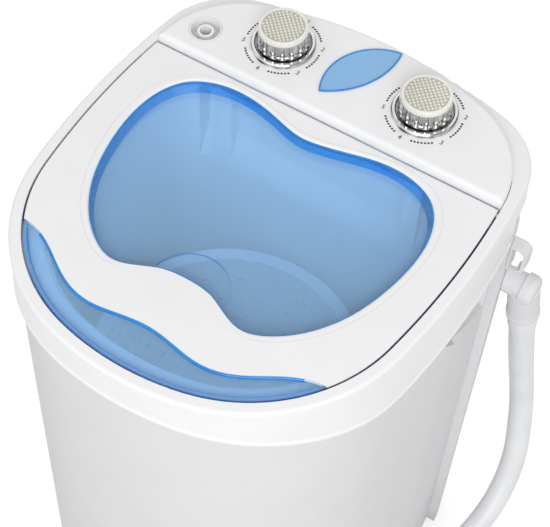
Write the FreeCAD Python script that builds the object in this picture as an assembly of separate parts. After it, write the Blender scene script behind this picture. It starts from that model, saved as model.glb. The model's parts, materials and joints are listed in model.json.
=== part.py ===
import FreeCAD, Part
import math
import os
from FreeCAD import Vector

# Mini washing machine, millimetres. +Z is up, the front faces -Y, and the origin is on the
# floor under the middle of the casing.

# Casing in plan: a D shape of four wide arcs joined by corner arcs
HALF_WIDTH = 173.0
FRONT = 197.0
REAR = 197.0
SIDE_Y = 40.0
SIDE_RADIUS = 720.0
FRONT_RADIUS = 226.0
FRONT_CORNER = 147.0
REAR_RADIUS = 420.0
REAR_CORNER = 70.0

# Feet and base under the body; the drive, the tub and the lid stand above them
FOOT_HEIGHT = 8.0
BASE_THICKNESS = 4.0

# Moulded walls and clearances
WALL = 2.5
FIT = 0.3
SHAFT_FIT = 0.05
TOUCH = 1e-4

# Body barrel, rear block, side channels and hand grips
CHANNEL_FRONT = 30.0
CHANNEL_REAR = 114.0
CHANNEL_DEPTH = 5.0
CHANNEL_ROUND = 4.0
GRIP_FRONT = -5.0
GRIP_DEPTH = 18.0
GRIP_FLARE = 6.0
GRIP_TOP_DROP = 45.0
GRIP_CORNER_DROP = 104.0
GRIP_REAR_DROP = 158.0
GRIP_ROUND = 10.0
REAR_BLOCK_DROP = 60.0
EDGE_ROUND = 4.0

# Collar round the top; its lower edge slopes from the front to a skirt at the sides
COLLAR_HEIGHT = 36.0
COLLAR_REAR_HEIGHT = 29.0
SKIRT_HEIGHT = 67.0
SKIRT_FRONT = -70.0
SKIRT_BEND = 260.0
BAND_INSET = 1.0
BEAD_HEIGHT = 7.0
RIM_WIDTH = 10.5
RIM_ROUND = 3.0
RECESS_DEPTH = 10.0
DECK = 3.0
MOUTH_INSET = 27.0
BAY_HALF_WIDTH = 104.0
BAY_FRONT = 106.0
BAY_REAR = 168.0

# Control panel
HINGE_Y = 92.0
PANEL_STEP = 6.7
PANEL_TILT = 3.6
PANEL_SIDE_RIM = 11.2
PANEL_REAR_RIM = 11.0
PANEL_REAR_RADIUS = 318.0
PANEL_REAR_CORNER = 82.0
PANEL_GAP = 0.5
PANEL_ROUND = 4.0

# Lid
LID_GAP = 1.8
LID_FRAME = 3.0
LID_PLATE = 3.0
LID_DEPTH = 9.4
LID_RIM = 2.5
LID_BEAD_DROP = 0.8
LIP_WIDTH = 6.0
LIP_ROUND = 2.2
LIP_GROOVE = 0.8
LIP_GROOVE_DEPTH = 0.5
TRAY_DEPTH = 8.0
TRAY_THICKNESS = 2.5
TRAY_LEAN = 3.5
HINGE_GAP = 1.0
PIN_RADIUS = 2.0
PIN_LENGTH = 16.0
SCOOP_RADIUS = 125.0
SCOOP_DEPTH = 6.4
SCOOP_Y = -7.0
POCKET_RADIUS = 31.0
POCKET_DEPTH = 1.0
BUFFER_RADIUS = 4.0
BUFFER_INSET = 19.0
BUFFER_Y = 0.0

# Half outlines of the lid openings, from the middle outwards
WINDOW_HALF = [(0.0, 67.2), (32.0, 73.7), (62.0, 80.3), (90.0, 78.5), (113.0, 66.5), (126.0, 44.0),
               (130.0, 18.0), (126.0, -22.5), (114.5, -60.0), (96.5, -88.5), (78.0, -105.0),
               (57.0, -113.0), (36.0, -106.5), (17.0, -98.5), (0.0, -96.8)]
WAVE_HALF = [(0.0, -147.3), (26.0, -150.6), (48.0, -153.4), (68.0, -149.6), (90.0, -137.6),
             (108.0, -126.6), (122.0, -121.3), (144.0, -122.0)]

# Tub, with a set-back pocket and two posts at the top of its rear wall
TUB_DEPTH = 335.0
TUB_REAR = 82.0
TUB_FLANGE = 12.0
TUB_CORNER = 35.0
TUB_FLOOR_ROUND = 30.0
POCKET_HALF_WIDTH = 112.0
POCKET_SETBACK = 16.0
POCKET_TOP_DROP = 75.0
POCKET_BOTTOM_DROP = 105.0
POST_X = 90.0
POST_WIDTH = 14.0
POST_THICKNESS = 8.0

# Drive: pulsator, basket, shaft, pulleys and motor
DRUM_Y = -42.0
RECESS_RADIUS = 80.0
RECESS_FLOOR_DROP = 10.0
PULSATOR_RADIUS = 77.0
PULSATOR_LIFT = 2.0
PULSATOR_DISC = 7.0
FIN_COUNT = 4
FIN_HEIGHT = 16.0
FIN_WIDTH = 10.0
HUB_RADIUS = 18.0
HUB_HEIGHT = 35.0
BASKET_FLOOR_RADIUS = 98.0
BASKET_TOP_RADIUS = 106.0
BASKET_RIM_RADIUS = 116.0
BASKET_RIM_DROP = 175.0
BASKET_RIM_HEIGHT = 6.0
BASKET_HOLE_RADIUS = 3.5
BASKET_HOLE_ROWS = 4
BASKET_HOLES_PER_ROW = 20
SHAFT_RADIUS = 6.0
SEAL_RADIUS = 14.0
HOUSING_FLANGE_RADIUS = 45.0
HOUSING_FLANGE = 6.0
HOUSING_RADIUS = 17.0
HOUSING_HEIGHT = 62.0
HUB_DISC = 5.0
BUSH_RADIUS = 10.0
BUSH_HEIGHT = 18.0
PULLEY_GAP = 4.0
DRIVEN_RADIUS = 62.0
MOTOR_PULLEY_RADIUS = 19.0
PULLEY_HEIGHT = 16.0
BELT_WIDTH = 8.0
BELT_THICKNESS = 5.0
BELT_SINK = 6.5
MOTOR_Y = 98.0
MOTOR_RADIUS = 52.0
MOTOR_HEIGHT = 76.0
MOTOR_SHAFT_RADIUS = 5.0
BRACKET_HALF_X = 66.0
BRACKET_HALF_Y = 60.0
BRACKET_THICKNESS = 3.0
MOUNT_RADIUS = 9.0
MOUNT_HEIGHT = 20.5
NUT_RADIUS = 11.0
NUT_SIDES = 6
CAPACITOR_INSET = 63.0
CAPACITOR_Y = 95.0
CAPACITOR_RADIUS = 17.0
CAPACITOR_HEIGHT = 58.0

# Knobs, timers, lens and water inlet on the panel, measured along the panel from the hinge line
KNOB_X = 66.5
KNOB_Y = 45.0
KNOB_RADIUS = 22.0
KNOB_TAPER = 1.0
KNOB_LIFT = 0.8
KNOB_HEIGHT = 17.0
KNOB_FLUTES = 18
FLUTE_RADIUS = 2.6
CAP_RADIUS = 20.5
CAP_HEIGHT = 5.0
BEZEL_RADIUS = 27.0
BEZEL_HEIGHT = 4.0
BEZEL_GAP = 1.2
TIMER_SIZE = 46.0
TIMER_HEIGHT = 32.0
TIMER_SHAFT_RADIUS = 3.0
TIMER_SHAFT_GAP = 2.0
LENS_TIP_A = (-15.5, 18.5)
LENS_TIP_B = (21.0, 88.5)
LENS_BULGE_A = 21.0
LENS_BULGE_B = 13.0
LENS_PROUD = 0.8
LENS_LIP = 1.0
LENS_LIP_THICKNESS = 1.5
INLET_INSET = 31.8
INLET_Y = 25.0
INLET_RADIUS = 14.0
INLET_DEPTH = 12.0
NOZZLE_RADIUS = 7.0
NOZZLE_WALL = 2.0
NOZZLE_DROP = 2.0
NOZZLE_REACH = 8.0
NOZZLE_STEP = 0.5
NOZZLE_TAIL = 18.0
PIPE_REACH = 32.0
PIPE_SPOUT_DROP = 64.0
PIPE_BEND = 12.0

# Drain: sump under the tub, inner pipe, outlet elbow, hose and its holder
SUMP_X = 84.0
SUMP_Y = 10.0
SUMP_RADIUS = 9.0
STRAINER_RADIUS = 13.0
OUTLET_SETBACK = 34.0
OUTLET_TAIL = 30.0
SPIGOT_RADIUS = 10.0
SPIGOT_WALL = 2.0
SPIGOT_BEND = 16.0
HOSE_RADIUS = 12.0
HOSE_WALL = 1.8
HOSE_LAP = 12.0
ELBOW_RADIUS = 14.0
ELBOW_LENGTH = 44.0
ELBOW_RING = 5.0
ELBOW_RING_PROUD = 1.0
ELBOW_END = 12.0
ELBOW_ROUND = 6.0
STUB_RADIUS = 12.0
CUFF_RADIUS = 13.2
CUFF_HEIGHT = 18.0
CLIP_Y = 121.0
CLIP_DROP = 81.0
CLIP_REACH = 16.0
CLIP_RISE = 30.0
CLIP_WALL = 3.0
CLIP_WIDTH = 12.0
CLIP_MOUTH = 6.0

# Feet, fasteners and the mains gland
FOOT_RADIUS = 17.0
FOOT_SIDE_INSET = 61.0
FOOT_FRONT_INSET = 87.0
FOOT_REAR_INSET = 69.0
SCREW_RADIUS = 2.0
SCREW_HEAD_RADIUS = 3.8
SCREW_HEAD = 2.5
SCREW_LENGTH = 12.0
BOSS_RADIUS = 6.0
GLAND_X = -80.0
GLAND_Z = 60.0
GLAND_RADIUS = 9.0
GLAND_FLANGE_RADIUS = 13.0
GLAND_FLANGE = 3.0
GLAND_BORE = 4.0
BASE_VENTS = 5
BASE_VENT_PITCH = 14.0
BASE_VENT_WIDTH = 6.0
BASE_VENT_LENGTH = 60.0

# Hose route from the elbow at the top to the outlet at the bottom, chosen by hand
HOSE_POINTS = [(188.0, 142.0, 385.0), (192.0, 152.0, 331.0), (195.0, 173.0, 263.0), (206.0, 183.0, 186.0),
               (224.0, 154.0, 117.0), (219.0, 98.0, 66.0), (188.0, 16.0, 44.0), (188.0, -44.0, 44.0)]
HOSE_ARC_SHARE = 0.45

# Values worked out from the sizes above
BODY_BOTTOM = FOOT_HEIGHT + BASE_THICKNESS
BRACKET_BOTTOM = BODY_BOTTOM + MOUNT_HEIGHT
MOTOR_BOTTOM = BRACKET_BOTTOM + BRACKET_THICKNESS
MOTOR_TOP = MOTOR_BOTTOM + MOTOR_HEIGHT
PULLEY_BOTTOM = MOTOR_TOP + 2 * PULLEY_GAP
PULLEY_MIDDLE = PULLEY_BOTTOM + PULLEY_HEIGHT / 2
PULLEY_TOP = PULLEY_BOTTOM + PULLEY_HEIGHT
HOUSING_BOTTOM = PULLEY_TOP + PULLEY_GAP
HUB_DISC_BOTTOM = HOUSING_BOTTOM + HOUSING_HEIGHT + HOUSING_FLANGE
RECESS_FLOOR = HUB_DISC_BOTTOM + HUB_DISC + WALL
TUB_FLOOR = RECESS_FLOOR + RECESS_FLOOR_DROP
TOP_Z = TUB_FLOOR + TUB_DEPTH
BODY_INSET = BAND_INSET + WALL + FIT
NECK_TOP = TOP_Z - WALL - FIT
SKIRT_BOTTOM = TOP_Z - SKIRT_HEIGHT
DECK_TOP = TOP_Z - RECESS_DEPTH
DECK_BOTTOM = DECK_TOP - DECK
LID_INSET = RIM_WIDTH + LID_GAP
LID_BOTTOM = TOP_Z - LID_DEPTH
PLATE_TOP = TOP_Z - LID_FRAME
PLATE_BOTTOM = PLATE_TOP - LID_PLATE
TRAY_TOP = PLATE_TOP - TRAY_DEPTH
TRAY_BOTTOM = TRAY_TOP - TRAY_THICKNESS
NOSE_RADIUS = LID_DEPTH / 2
AXIS_Y = HINGE_Y - HINGE_GAP - NOSE_RADIUS
AXIS_Z = TOP_Z - NOSE_RADIUS
TUB_OUTER_INSET = MOUTH_INSET + FIT
TUB_INNER_INSET = TUB_OUTER_INSET + WALL
PULSATOR_BOTTOM = RECESS_FLOOR + PULSATOR_LIFT
PULSATOR_TOP = PULSATOR_BOTTOM + PULSATOR_DISC
FIN_TOP = PULSATOR_TOP + FIN_HEIGHT
HUB_TOP = PULSATOR_BOTTOM + HUB_HEIGHT
SCREW_SEAT = HUB_TOP - SCREW_HEAD - 2 * PULSATOR_LIFT
SHAFT_TOP = SCREW_SEAT - WALL
SHAFT_BOTTOM = PULLEY_BOTTOM - SCREW_LENGTH / 2
BASKET_TOP = TOP_Z - BASKET_RIM_DROP
PANEL_HALF_WIDTH = HALF_WIDTH - PANEL_SIDE_RIM
PANEL_REAR = REAR - PANEL_REAR_RIM
INLET_X = INLET_INSET - PANEL_HALF_WIDTH
PIPE_SPOUT_X = INLET_X + PIPE_REACH
TAIL_RADIUS = NOZZLE_RADIUS - NOZZLE_STEP
CAPACITOR_X = HALF_WIDTH - CAPACITOR_INSET
CLIP_Z = TOP_Z - CLIP_DROP
FOOT_X = HALF_WIDTH - FOOT_SIDE_INSET
FOOT_FRONT_Y = FOOT_FRONT_INSET - FRONT
FOOT_REAR_Y = REAR - FOOT_REAR_INSET
OUTLET_X = HOSE_POINTS[-1][0]
OUTLET_Y = HOSE_POINTS[-1][1] - OUTLET_SETBACK
OUTLET_Z = HOSE_POINTS[-1][2]
FAR = 4 * (HALF_WIDTH + FRONT + REAR + TOP_Z)
UP = Vector(0, 0, 1)


def corner_centre(centre_a, radius_a, centre_b, radius_b, corner, way):
    """Centre of a corner circle that touches two larger circles from inside; way is -1 at the front."""
    across = centre_b - centre_a
    length = across.Length
    from_a = radius_a - corner
    from_b = radius_b - corner
    along = (length ** 2 + from_a ** 2 - from_b ** 2) / (2 * length)
    rise = math.sqrt(from_a ** 2 - along ** 2)
    unit = across * (1 / length)
    square = Vector(unit.y, -unit.x, 0)
    found = [centre_a + unit * along + square * rise, centre_a + unit * along - square * rise]
    return max(found, key=lambda centre: way * centre.y)


def touch_point(centre, radius, corner):
    """Point where a large circle meets the corner circle that it holds."""
    return centre + (corner - centre).normalize() * radius


def mirrored(point):
    return Vector(-point.x, point.y, point.z)


def arc(start, middle, end):
    return Part.Arc(start, middle, end).toShape()


def d_wire(half_width, side_radius, front, front_radius, front_corner, rear, rear_radius, rear_corner, z):
    """Closed D-shaped outline of eight tangent arcs at height z."""
    side = Vector(half_width - side_radius, SIDE_Y, 0)
    nose = Vector(0, front_radius - front, 0)
    back = Vector(0, rear - rear_radius, 0)
    front_centre = corner_centre(nose, front_radius, side, side_radius, front_corner, -1)
    rear_centre = corner_centre(back, rear_radius, side, side_radius, rear_corner, 1)
    right = []
    corners = ((front_centre, front_corner, nose, front_radius),
               (rear_centre, rear_corner, back, rear_radius))
    for centre, corner, end, end_radius in corners:
        on_end = touch_point(end, end_radius, centre)
        on_side = touch_point(side, side_radius, centre)
        middle = centre + ((on_end - centre) + (on_side - centre)).normalize() * corner
        right.append((on_end, middle, on_side))
    (front_end, front_middle, front_side), (rear_end, rear_middle, rear_side) = right
    edges = [arc(mirrored(front_end), Vector(0, -front, 0), front_end),
             arc(front_end, front_middle, front_side),
             arc(front_side, Vector(half_width, SIDE_Y, 0), rear_side),
             arc(rear_side, rear_middle, rear_end),
             arc(rear_end, Vector(0, rear, 0), mirrored(rear_end)),
             arc(mirrored(rear_end), mirrored(rear_middle), mirrored(rear_side)),
             arc(mirrored(rear_side), Vector(-half_width, SIDE_Y, 0), mirrored(front_side)),
             arc(mirrored(front_side), mirrored(front_middle), mirrored(front_end))]
    wire = Part.Wire(edges)
    wire.translate(Vector(0, 0, z))
    return wire


def casing_wire(inset, z):
    """The casing's outline, moved inwards by inset."""
    return d_wire(HALF_WIDTH - inset, SIDE_RADIUS - inset, FRONT - inset, FRONT_RADIUS - inset,
                  FRONT_CORNER - inset, REAR - inset, REAR_RADIUS - inset, REAR_CORNER - inset, z)


def panel_wire(inset, z):
    """The control panel's outline, moved inwards by inset."""
    front_inset = RIM_WIDTH + inset
    return d_wire(PANEL_HALF_WIDTH - inset, SIDE_RADIUS - front_inset, FRONT - front_inset,
                  FRONT_RADIUS - front_inset, FRONT_CORNER - front_inset, PANEL_REAR - inset,
                  PANEL_REAR_RADIUS - inset, PANEL_REAR_CORNER - inset, z)


def side_at(inset, y):
    """Half width of the casing at depth y along its side arc, moved inwards by inset."""
    return HALF_WIDTH - SIDE_RADIUS + math.sqrt((SIDE_RADIUS - inset) ** 2 - (y - SIDE_Y) ** 2)


def rear_at(inset, x):
    """Depth of the casing's rear arc at x, moved inwards by inset."""
    return REAR - REAR_RADIUS + math.sqrt((REAR_RADIUS - inset) ** 2 - x ** 2)


def slab(wire, height):
    return Part.Face(wire).extrude(Vector(0, 0, height))


def casing_slab(inset, low, high):
    return slab(casing_wire(inset, low), high - low)


def block(x0, x1, y0, y1, z0, z1):
    return Part.makeBox(x1 - x0, y1 - y0, z1 - z0, Vector(x0, y0, z0))


def ahead_of(y):
    return block(-FAR, FAR, -FAR, y, -FAR, FAR)


def behind(y):
    return block(-FAR, FAR, y, FAR, -FAR, FAR)


def post(radius, x, y, low, high):
    return Part.makeCylinder(radius, high - low, Vector(x, y, low))


def tube(outer, inner, x, y, low, high):
    return post(outer, x, y, low, high).cut(post(inner, x, y, low, high))


def rod(radius, start, end):
    """Cylinder between two points in space."""
    return Part.makeCylinder(radius, (end - start).Length, start, end - start)


def both_sides(shape):
    return [shape, shape.mirror(Vector(0, 0, 0), Vector(1, 0, 0))]


def edges_where(shape, test):
    return [edge for edge in shape.Edges if test(edge)]


def at_height(z):
    """Test for edges that lie in the plane at height z."""
    return lambda edge: abs(edge.BoundBox.ZMin - z) < TOUCH and abs(edge.BoundBox.ZMax - z) < TOUCH


def is_upright(edge):
    return edge.BoundBox.XLength < TOUCH and edge.BoundBox.YLength < TOUCH


def is_level(edge):
    return edge.BoundBox.ZLength < TOUCH


def upright_at(y):
    """Test for vertical edges at depth y."""
    return lambda edge: is_upright(edge) and abs(edge.BoundBox.YMin - y) < TOUCH


def across_from(x):
    """Test for edges that run along Y, beyond x."""
    return lambda edge: (edge.BoundBox.XLength < TOUCH and is_level(edge) and edge.BoundBox.XMin > x)


def runs_along_wall(edge):
    """Test for edges that follow the casing's outline."""
    return not is_upright(edge) and edge.BoundBox.YLength > TOUCH


def ends_at(x):
    """Test for edges that lie in the plane across X at a place."""
    return lambda edge: abs(edge.BoundBox.XMin - x) < TOUCH and abs(edge.BoundBox.XMax - x) < TOUCH


def rounded(shape, radius, test):
    return shape.makeFillet(radius, edges_where(shape, test))


def rounded_path(points, radius_of):
    """Straight runs joined by tangent arcs, as one wire; radius_of gives each corner's radius."""
    edges = []
    start = points[0]
    for before, here, after in zip(points, points[1:], points[2:]):
        into = (here - before).normalize()
        out = (after - here).normalize()
        turn = into.getAngle(out)
        radius = radius_of(before, here, after, turn)
        setback = radius * math.tan(turn / 2)
        first = here - into * setback
        last = here + out * setback
        inward = (out - into).normalize()
        middle = here + inward * (radius / math.cos(turn / 2) - radius)
        edges.append(Part.LineSegment(start, first).toShape())
        edges.append(arc(first, middle, last))
        start = last
    edges.append(Part.LineSegment(start, points[-1]).toShape())
    return Part.Wire(edges)


def pipe_along(path, start, direction, radius):
    ring = Part.Wire(Part.makeCircle(radius, start, direction))
    return path.makePipeShell([ring], True, False)


def bent_pipe(points, outer, inner, bend):
    """Hollow pipe through the points, with every corner bent to one radius."""
    path = rounded_path(points, lambda before, here, after, turn: bend)
    direction = points[1] - points[0]
    return pipe_along(path, points[0], direction, outer).cut(pipe_along(path, points[0], direction, inner))


def mirrored_curve(half, closed):
    """Smooth curve through a half outline and its mirror image."""
    right = [Vector(x, y, 0) for x, y in half]
    left = [mirrored(point) for point in reversed(right)]
    curve = Part.BSplineCurve()
    if closed:
        curve.interpolate(right + left[1:-1], PeriodicFlag=True)
    else:
        curve.interpolate(left + right[1:])
    return curve.toShape()


def on_panel(shape):
    """Move a shape from the panel's own plane, whose origin is on the hinge line, to its place."""
    placed = shape.copy()
    placed.rotate(Vector(0, 0, 0), Vector(1, 0, 0), PANEL_TILT)
    placed.translate(Vector(0, HINGE_Y, TOP_Z + PANEL_STEP))
    return placed


def grown_outline(points, distance):
    """Corners of a closed outline in the YZ plane moved outwards by a distance."""
    grown = []
    for before, here, after in zip(points[-1:] + points[:-1], points, points[1:] + points[:1]):
        inward = (here - before).normalize()
        onward = (after - here).normalize()
        first = Vector(0, inward.z, -inward.y)
        second = Vector(0, onward.z, -onward.y)
        grown.append(here + (first + second) * (distance / (1 + first.dot(second))))
    return grown


def grip_outline(grow, x):
    """Outline of a hand grip at a depth, upright in front and behind, with a floor that falls to the rear."""
    top = TOP_Z - GRIP_TOP_DROP
    corners = [(GRIP_FRONT, top), (GRIP_FRONT, SKIRT_BOTTOM), (CHANNEL_FRONT, TOP_Z - GRIP_CORNER_DROP),
               (CHANNEL_REAR, TOP_Z - GRIP_REAR_DROP), (CHANNEL_REAR, top)]
    points = grown_outline([Vector(x, y, z) for y, z in corners], grow)
    return Part.makePolygon(points + points[:1])


def grip_space(grow):
    """Hollow of the right hand grip, wider at its mouth and rounded at its back."""
    mouth = HALF_WIDTH - BODY_INSET
    back = mouth - GRIP_DEPTH - grow
    outside = mouth + GRIP_DEPTH
    slope = GRIP_FLARE / GRIP_DEPTH
    wires = [grip_outline(grow + slope * (x - mouth), x) for x in (back, outside)]
    space = Part.makeLoft(wires, True, True)
    return rounded(space, GRIP_ROUND, ends_at(back))


def channel_tools(grow):
    """Both side channels with the hand grips above them, grown by a wall thickness."""
    high = TOP_Z - GRIP_CORNER_DROP
    channel = block(0, FAR, CHANNEL_FRONT - grow, CHANNEL_REAR + grow, -FAR, high)
    channel = channel.cut(casing_slab(BODY_INSET + CHANNEL_DEPTH + grow, -FAR, FAR))
    return both_sides(channel.fuse(grip_space(grow)))


def channel_ridge(edge):
    """Test for the upright outer edge at the front of a side channel."""
    outside = side_at(BODY_INSET + CHANNEL_DEPTH / 2, CHANNEL_FRONT)
    return upright_at(CHANNEL_FRONT)(edge) and abs(edge.CenterOfMass.x) > outside


def body_solid(grow_in, low, high):
    """Outside of the body as a full solid, moved inwards by a wall thickness."""
    block_top = TOP_Z - REAR_BLOCK_DROP - grow_in
    rear = casing_slab(grow_in, low, min(high, block_top)).common(behind(CHANNEL_REAR + grow_in))
    whole = casing_slab(BODY_INSET + grow_in, low, high).fuse(rear)
    return whole.cut(channel_tools(grow_in))


def base_boss_places():
    """Screw places near the foot of the body wall: front, both sides and two at the rear."""
    rear_margin = WALL + BOSS_RADIUS / 2
    margin = BODY_INSET + rear_margin
    rear_x = HALF_WIDTH / 2
    rear_y = rear_at(rear_margin, rear_x)
    side = side_at(margin, 0)
    return [(0, -FRONT + margin), (side, 0), (-side, 0), (rear_x, rear_y), (-rear_x, rear_y)]


def outlet_hole():
    return rod(SPIGOT_RADIUS + FIT, Vector(0, OUTLET_Y, OUTLET_Z), Vector(FAR, OUTLET_Y, OUTLET_Z))


def elbow_centre():
    return Vector(*HOSE_POINTS[0]) - hose_direction() * ELBOW_LENGTH


def elbow_inner_end():
    """End of the elbow's stub, inside the body."""
    centre = elbow_centre()
    return Vector(side_at(0, centre.y) - 2 * HOSE_LAP, centre.y, centre.z)


def hose_direction():
    return (Vector(*HOSE_POINTS[1]) - Vector(*HOSE_POINTS[0])).normalize()


def make_shell():
    """Whole casing wall, before it is parted at the rear corners of the side channels."""
    outer = rounded(body_solid(0, BODY_BOTTOM, NECK_TOP), CHANNEL_ROUND, channel_ridge)
    cavity = body_solid(WALL, BODY_BOTTOM - WALL, NECK_TOP + WALL)
    shell = outer.cut(cavity)
    bosses = []
    for x, y in base_boss_places():
        bosses.append(post(BOSS_RADIUS, x, y, BODY_BOTTOM, BODY_BOTTOM + 2 * SCREW_LENGTH))
    shell = shell.fuse(bosses).common(outer)
    holes = [post(SCREW_RADIUS + SHAFT_FIT, x, y, 0, BODY_BOTTOM + 2 * SCREW_LENGTH)
             for x, y in base_boss_places()]
    holes.append(outlet_hole())
    holes.append(rod(GLAND_RADIUS + FIT, Vector(GLAND_X, 0, GLAND_Z), Vector(GLAND_X, FAR, GLAND_Z)))
    holes.append(rod(SPIGOT_RADIUS + FIT, elbow_inner_end(), elbow_centre()))
    return shell.cut(holes)


def make_base_plate():
    plate = body_solid(0, BODY_BOTTOM - BASE_THICKNESS, BODY_BOTTOM)
    holes = [post(SCREW_RADIUS + SHAFT_FIT, x, y, 0, TOP_Z) for x, y in base_boss_places()]
    for index in range(BASE_VENTS):
        x = (index - (BASE_VENTS - 1) / 2) * BASE_VENT_PITCH
        holes.append(block(x - BASE_VENT_WIDTH / 2, x + BASE_VENT_WIDTH / 2, DRUM_Y - BASE_VENT_LENGTH / 2,
                           DRUM_Y + BASE_VENT_LENGTH / 2, 0, TOP_Z))
    return plate.cut(holes)


def make_feet():
    feet = []
    for x in (-FOOT_X, FOOT_X):
        for y in (FOOT_FRONT_Y, FOOT_REAR_Y):
            foot = post(FOOT_RADIUS, x, y, 0, FOOT_HEIGHT)
            feet.append(foot.makeChamfer(FOOT_HEIGHT / 4, edges_where(foot, at_height(0))))
    return Part.makeCompound(feet)


def make_base_screws():
    screws = []
    for x, y in base_boss_places():
        head = post(SCREW_HEAD_RADIUS, x, y, FOOT_HEIGHT - SCREW_HEAD, FOOT_HEIGHT)
        screws.append(head.fuse(post(SCREW_RADIUS, x, y, FOOT_HEIGHT, FOOT_HEIGHT + SCREW_LENGTH)))
    return Part.makeCompound(screws)


def recess_space(gap_inset, low, high):
    """Room inside the collar's rim: the lid's part ahead of the hinge line, the panel's behind it."""
    lid_part = casing_slab(RIM_WIDTH + gap_inset, low, high).common(ahead_of(HINGE_Y))
    panel_part = slab(panel_wire(gap_inset - PANEL_GAP, low), high - low).common(behind(HINGE_Y))
    return lid_part.fuse(panel_part)


def tub_prism(inset, rear, low, high, corner):
    """Upright solid of the casing outline cut off by a straight rear wall."""
    space = casing_slab(inset, low, high).common(ahead_of(rear))
    return rounded(space, corner, upright_at(rear))


def pocket_space(grow):
    """Set-back upper part of the tub's rear wall, with a sloping shoulder below it."""
    front = TUB_REAR - TUB_CORNER
    back = TUB_REAR + POCKET_SETBACK + grow
    top = DECK_BOTTOM
    shoulder_high = TOP_Z - POCKET_TOP_DROP - grow
    shoulder_low = TOP_Z - POCKET_BOTTOM_DROP - grow
    corners = [(front, shoulder_low), (TUB_REAR, shoulder_low), (back, shoulder_high),
               (back, top), (front, top)]
    points = [Vector(-POCKET_HALF_WIDTH - grow, y, z) for y, z in corners]
    face = Part.Face(Part.makePolygon(points + points[:1]))
    return face.extrude(Vector(2 * (POCKET_HALF_WIDTH + grow), 0, 0))


def knob_places():
    return {"wash": -KNOB_X, "spin": KNOB_X}


def bay_space():
    """Opening in the deck under the panel, where the timers hang."""
    bay = block(-BAY_HALF_WIDTH, BAY_HALF_WIDTH, BAY_FRONT, BAY_REAR, DECK_BOTTOM, DECK_TOP)
    return bay.makeFillet(EDGE_ROUND, edges_where(bay, is_upright))


def inlet_place():
    """Where the inlet's axis crosses the deck."""
    return INLET_X, HINGE_Y + INLET_Y


def below_collar(lift):
    """Room under the collar's lower edge: sloping at the front, level at the sides, higher at the rear."""
    slope = (SKIRT_HEIGHT - COLLAR_HEIGHT) / (SKIRT_FRONT + FRONT)
    side = SKIRT_BOTTOM + lift
    rear = TOP_Z - COLLAR_REAR_HEIGHT + lift
    ahead = -2 * FRONT
    end = CHANNEL_REAR - FIT
    corners = [(ahead, side + slope * (SKIRT_FRONT - ahead)), (SKIRT_FRONT, side), (end, side), (end, rear),
               (FAR, rear), (FAR, -FAR), (ahead, -FAR)]
    points = [Vector(-FAR, y, z) for y, z in corners]
    room = Part.Face(Part.makePolygon(points + points[:1])).extrude(Vector(2 * FAR, 0, 0))
    crease = Vector(0, SKIRT_FRONT, side)
    return rounded(room, SKIRT_BEND, lambda edge: (edge.CenterOfMass - crease).Length < TOUCH)


def make_top_collar():
    band = casing_slab(BAND_INSET, SKIRT_BOTTOM, TOP_Z)
    band = rounded(band, RIM_ROUND, at_height(TOP_Z)).cut(below_collar(0))
    bead = casing_slab(0, SKIRT_BOTTOM, TOP_Z).common(below_collar(BEAD_HEIGHT)).cut(below_collar(0))
    bead = rounded(bead, BEAD_HEIGHT * 0.45, runs_along_wall)
    hollow = casing_slab(BAND_INSET + WALL, SKIRT_BOTTOM, TOP_Z - WALL)
    core = casing_slab(RIM_WIDTH - WALL, DECK_BOTTOM, TOP_Z)
    mouth = tub_prism(MOUTH_INSET, TUB_REAR, DECK_BOTTOM - WALL, TOP_Z, TUB_CORNER)
    collar = band.fuse(bead).cut(hollow.cut(core))
    inlet_x, inlet_y = inlet_place()
    openings = [recess_space(0, DECK_TOP, TOP_Z + WALL), mouth, bay_space(),
                post(NOZZLE_RADIUS + FIT + WALL, inlet_x, inlet_y, DECK_BOTTOM, TOP_Z)]
    openings.append(rod(PIN_RADIUS + SHAFT_FIT, Vector(-HALF_WIDTH + RIM_WIDTH - WALL, AXIS_Y, AXIS_Z),
                        Vector(HALF_WIDTH - RIM_WIDTH + WALL, AXIS_Y, AXIS_Z)))
    return collar.cut(openings).removeSplitter()


def panel_solid(inset, lift):
    """Wedge under the tilted panel plane, moved inwards by inset and down by lift."""
    front = HINGE_Y + inset
    whole = slab(panel_wire(inset, DECK_TOP), FAR).common(behind(front))
    above = on_panel(block(-FAR, FAR, -FAR, FAR, -lift, FAR))
    return whole.cut(above)


def on_panel_plane(edge):
    """True for edges in the panel's tilted top plane."""
    slope = math.tan(math.radians(PANEL_TILT))
    return all(abs(v.Z - TOP_Z - PANEL_STEP - (v.Y - HINGE_Y) * slope) < 1e-3 for v in edge.Vertexes)


def leaf_wire(grow, z):
    """Leaf of two arcs between its tips, grown outwards."""
    tip_a = Vector(LENS_TIP_A[0], LENS_TIP_A[1], z)
    tip_b = Vector(LENS_TIP_B[0], LENS_TIP_B[1], z)
    along = (tip_b - tip_a).normalize()
    across = Vector(-along.y, along.x, 0)
    middle = (tip_a + tip_b) * 0.5
    start = tip_a - along * grow * 2
    end = tip_b + along * grow * 2
    upper = arc(start, middle + across * (LENS_BULGE_A + grow), end)
    lower = arc(end, middle - across * (LENS_BULGE_B + grow), start)
    return Part.Wire([upper, lower])


def make_control_panel():
    outer = panel_solid(0, 0)
    outer = outer.makeFillet(PANEL_ROUND, edges_where(outer, on_panel_plane))
    panel = outer.cut(panel_solid(WALL, WALL))
    shaft_hole = TIMER_SHAFT_RADIUS + TIMER_SHAFT_GAP
    holes = [on_panel(post(shaft_hole, x, KNOB_Y, -FAR, FAR)) for x in knob_places().values()]
    holes.append(on_panel(slab(leaf_wire(FIT, -2 * WALL), 4 * WALL)))
    holes.append(on_panel(post(INLET_RADIUS, INLET_X, INLET_Y, -2 * WALL, FAR)))
    return panel.cut(holes)


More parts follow.
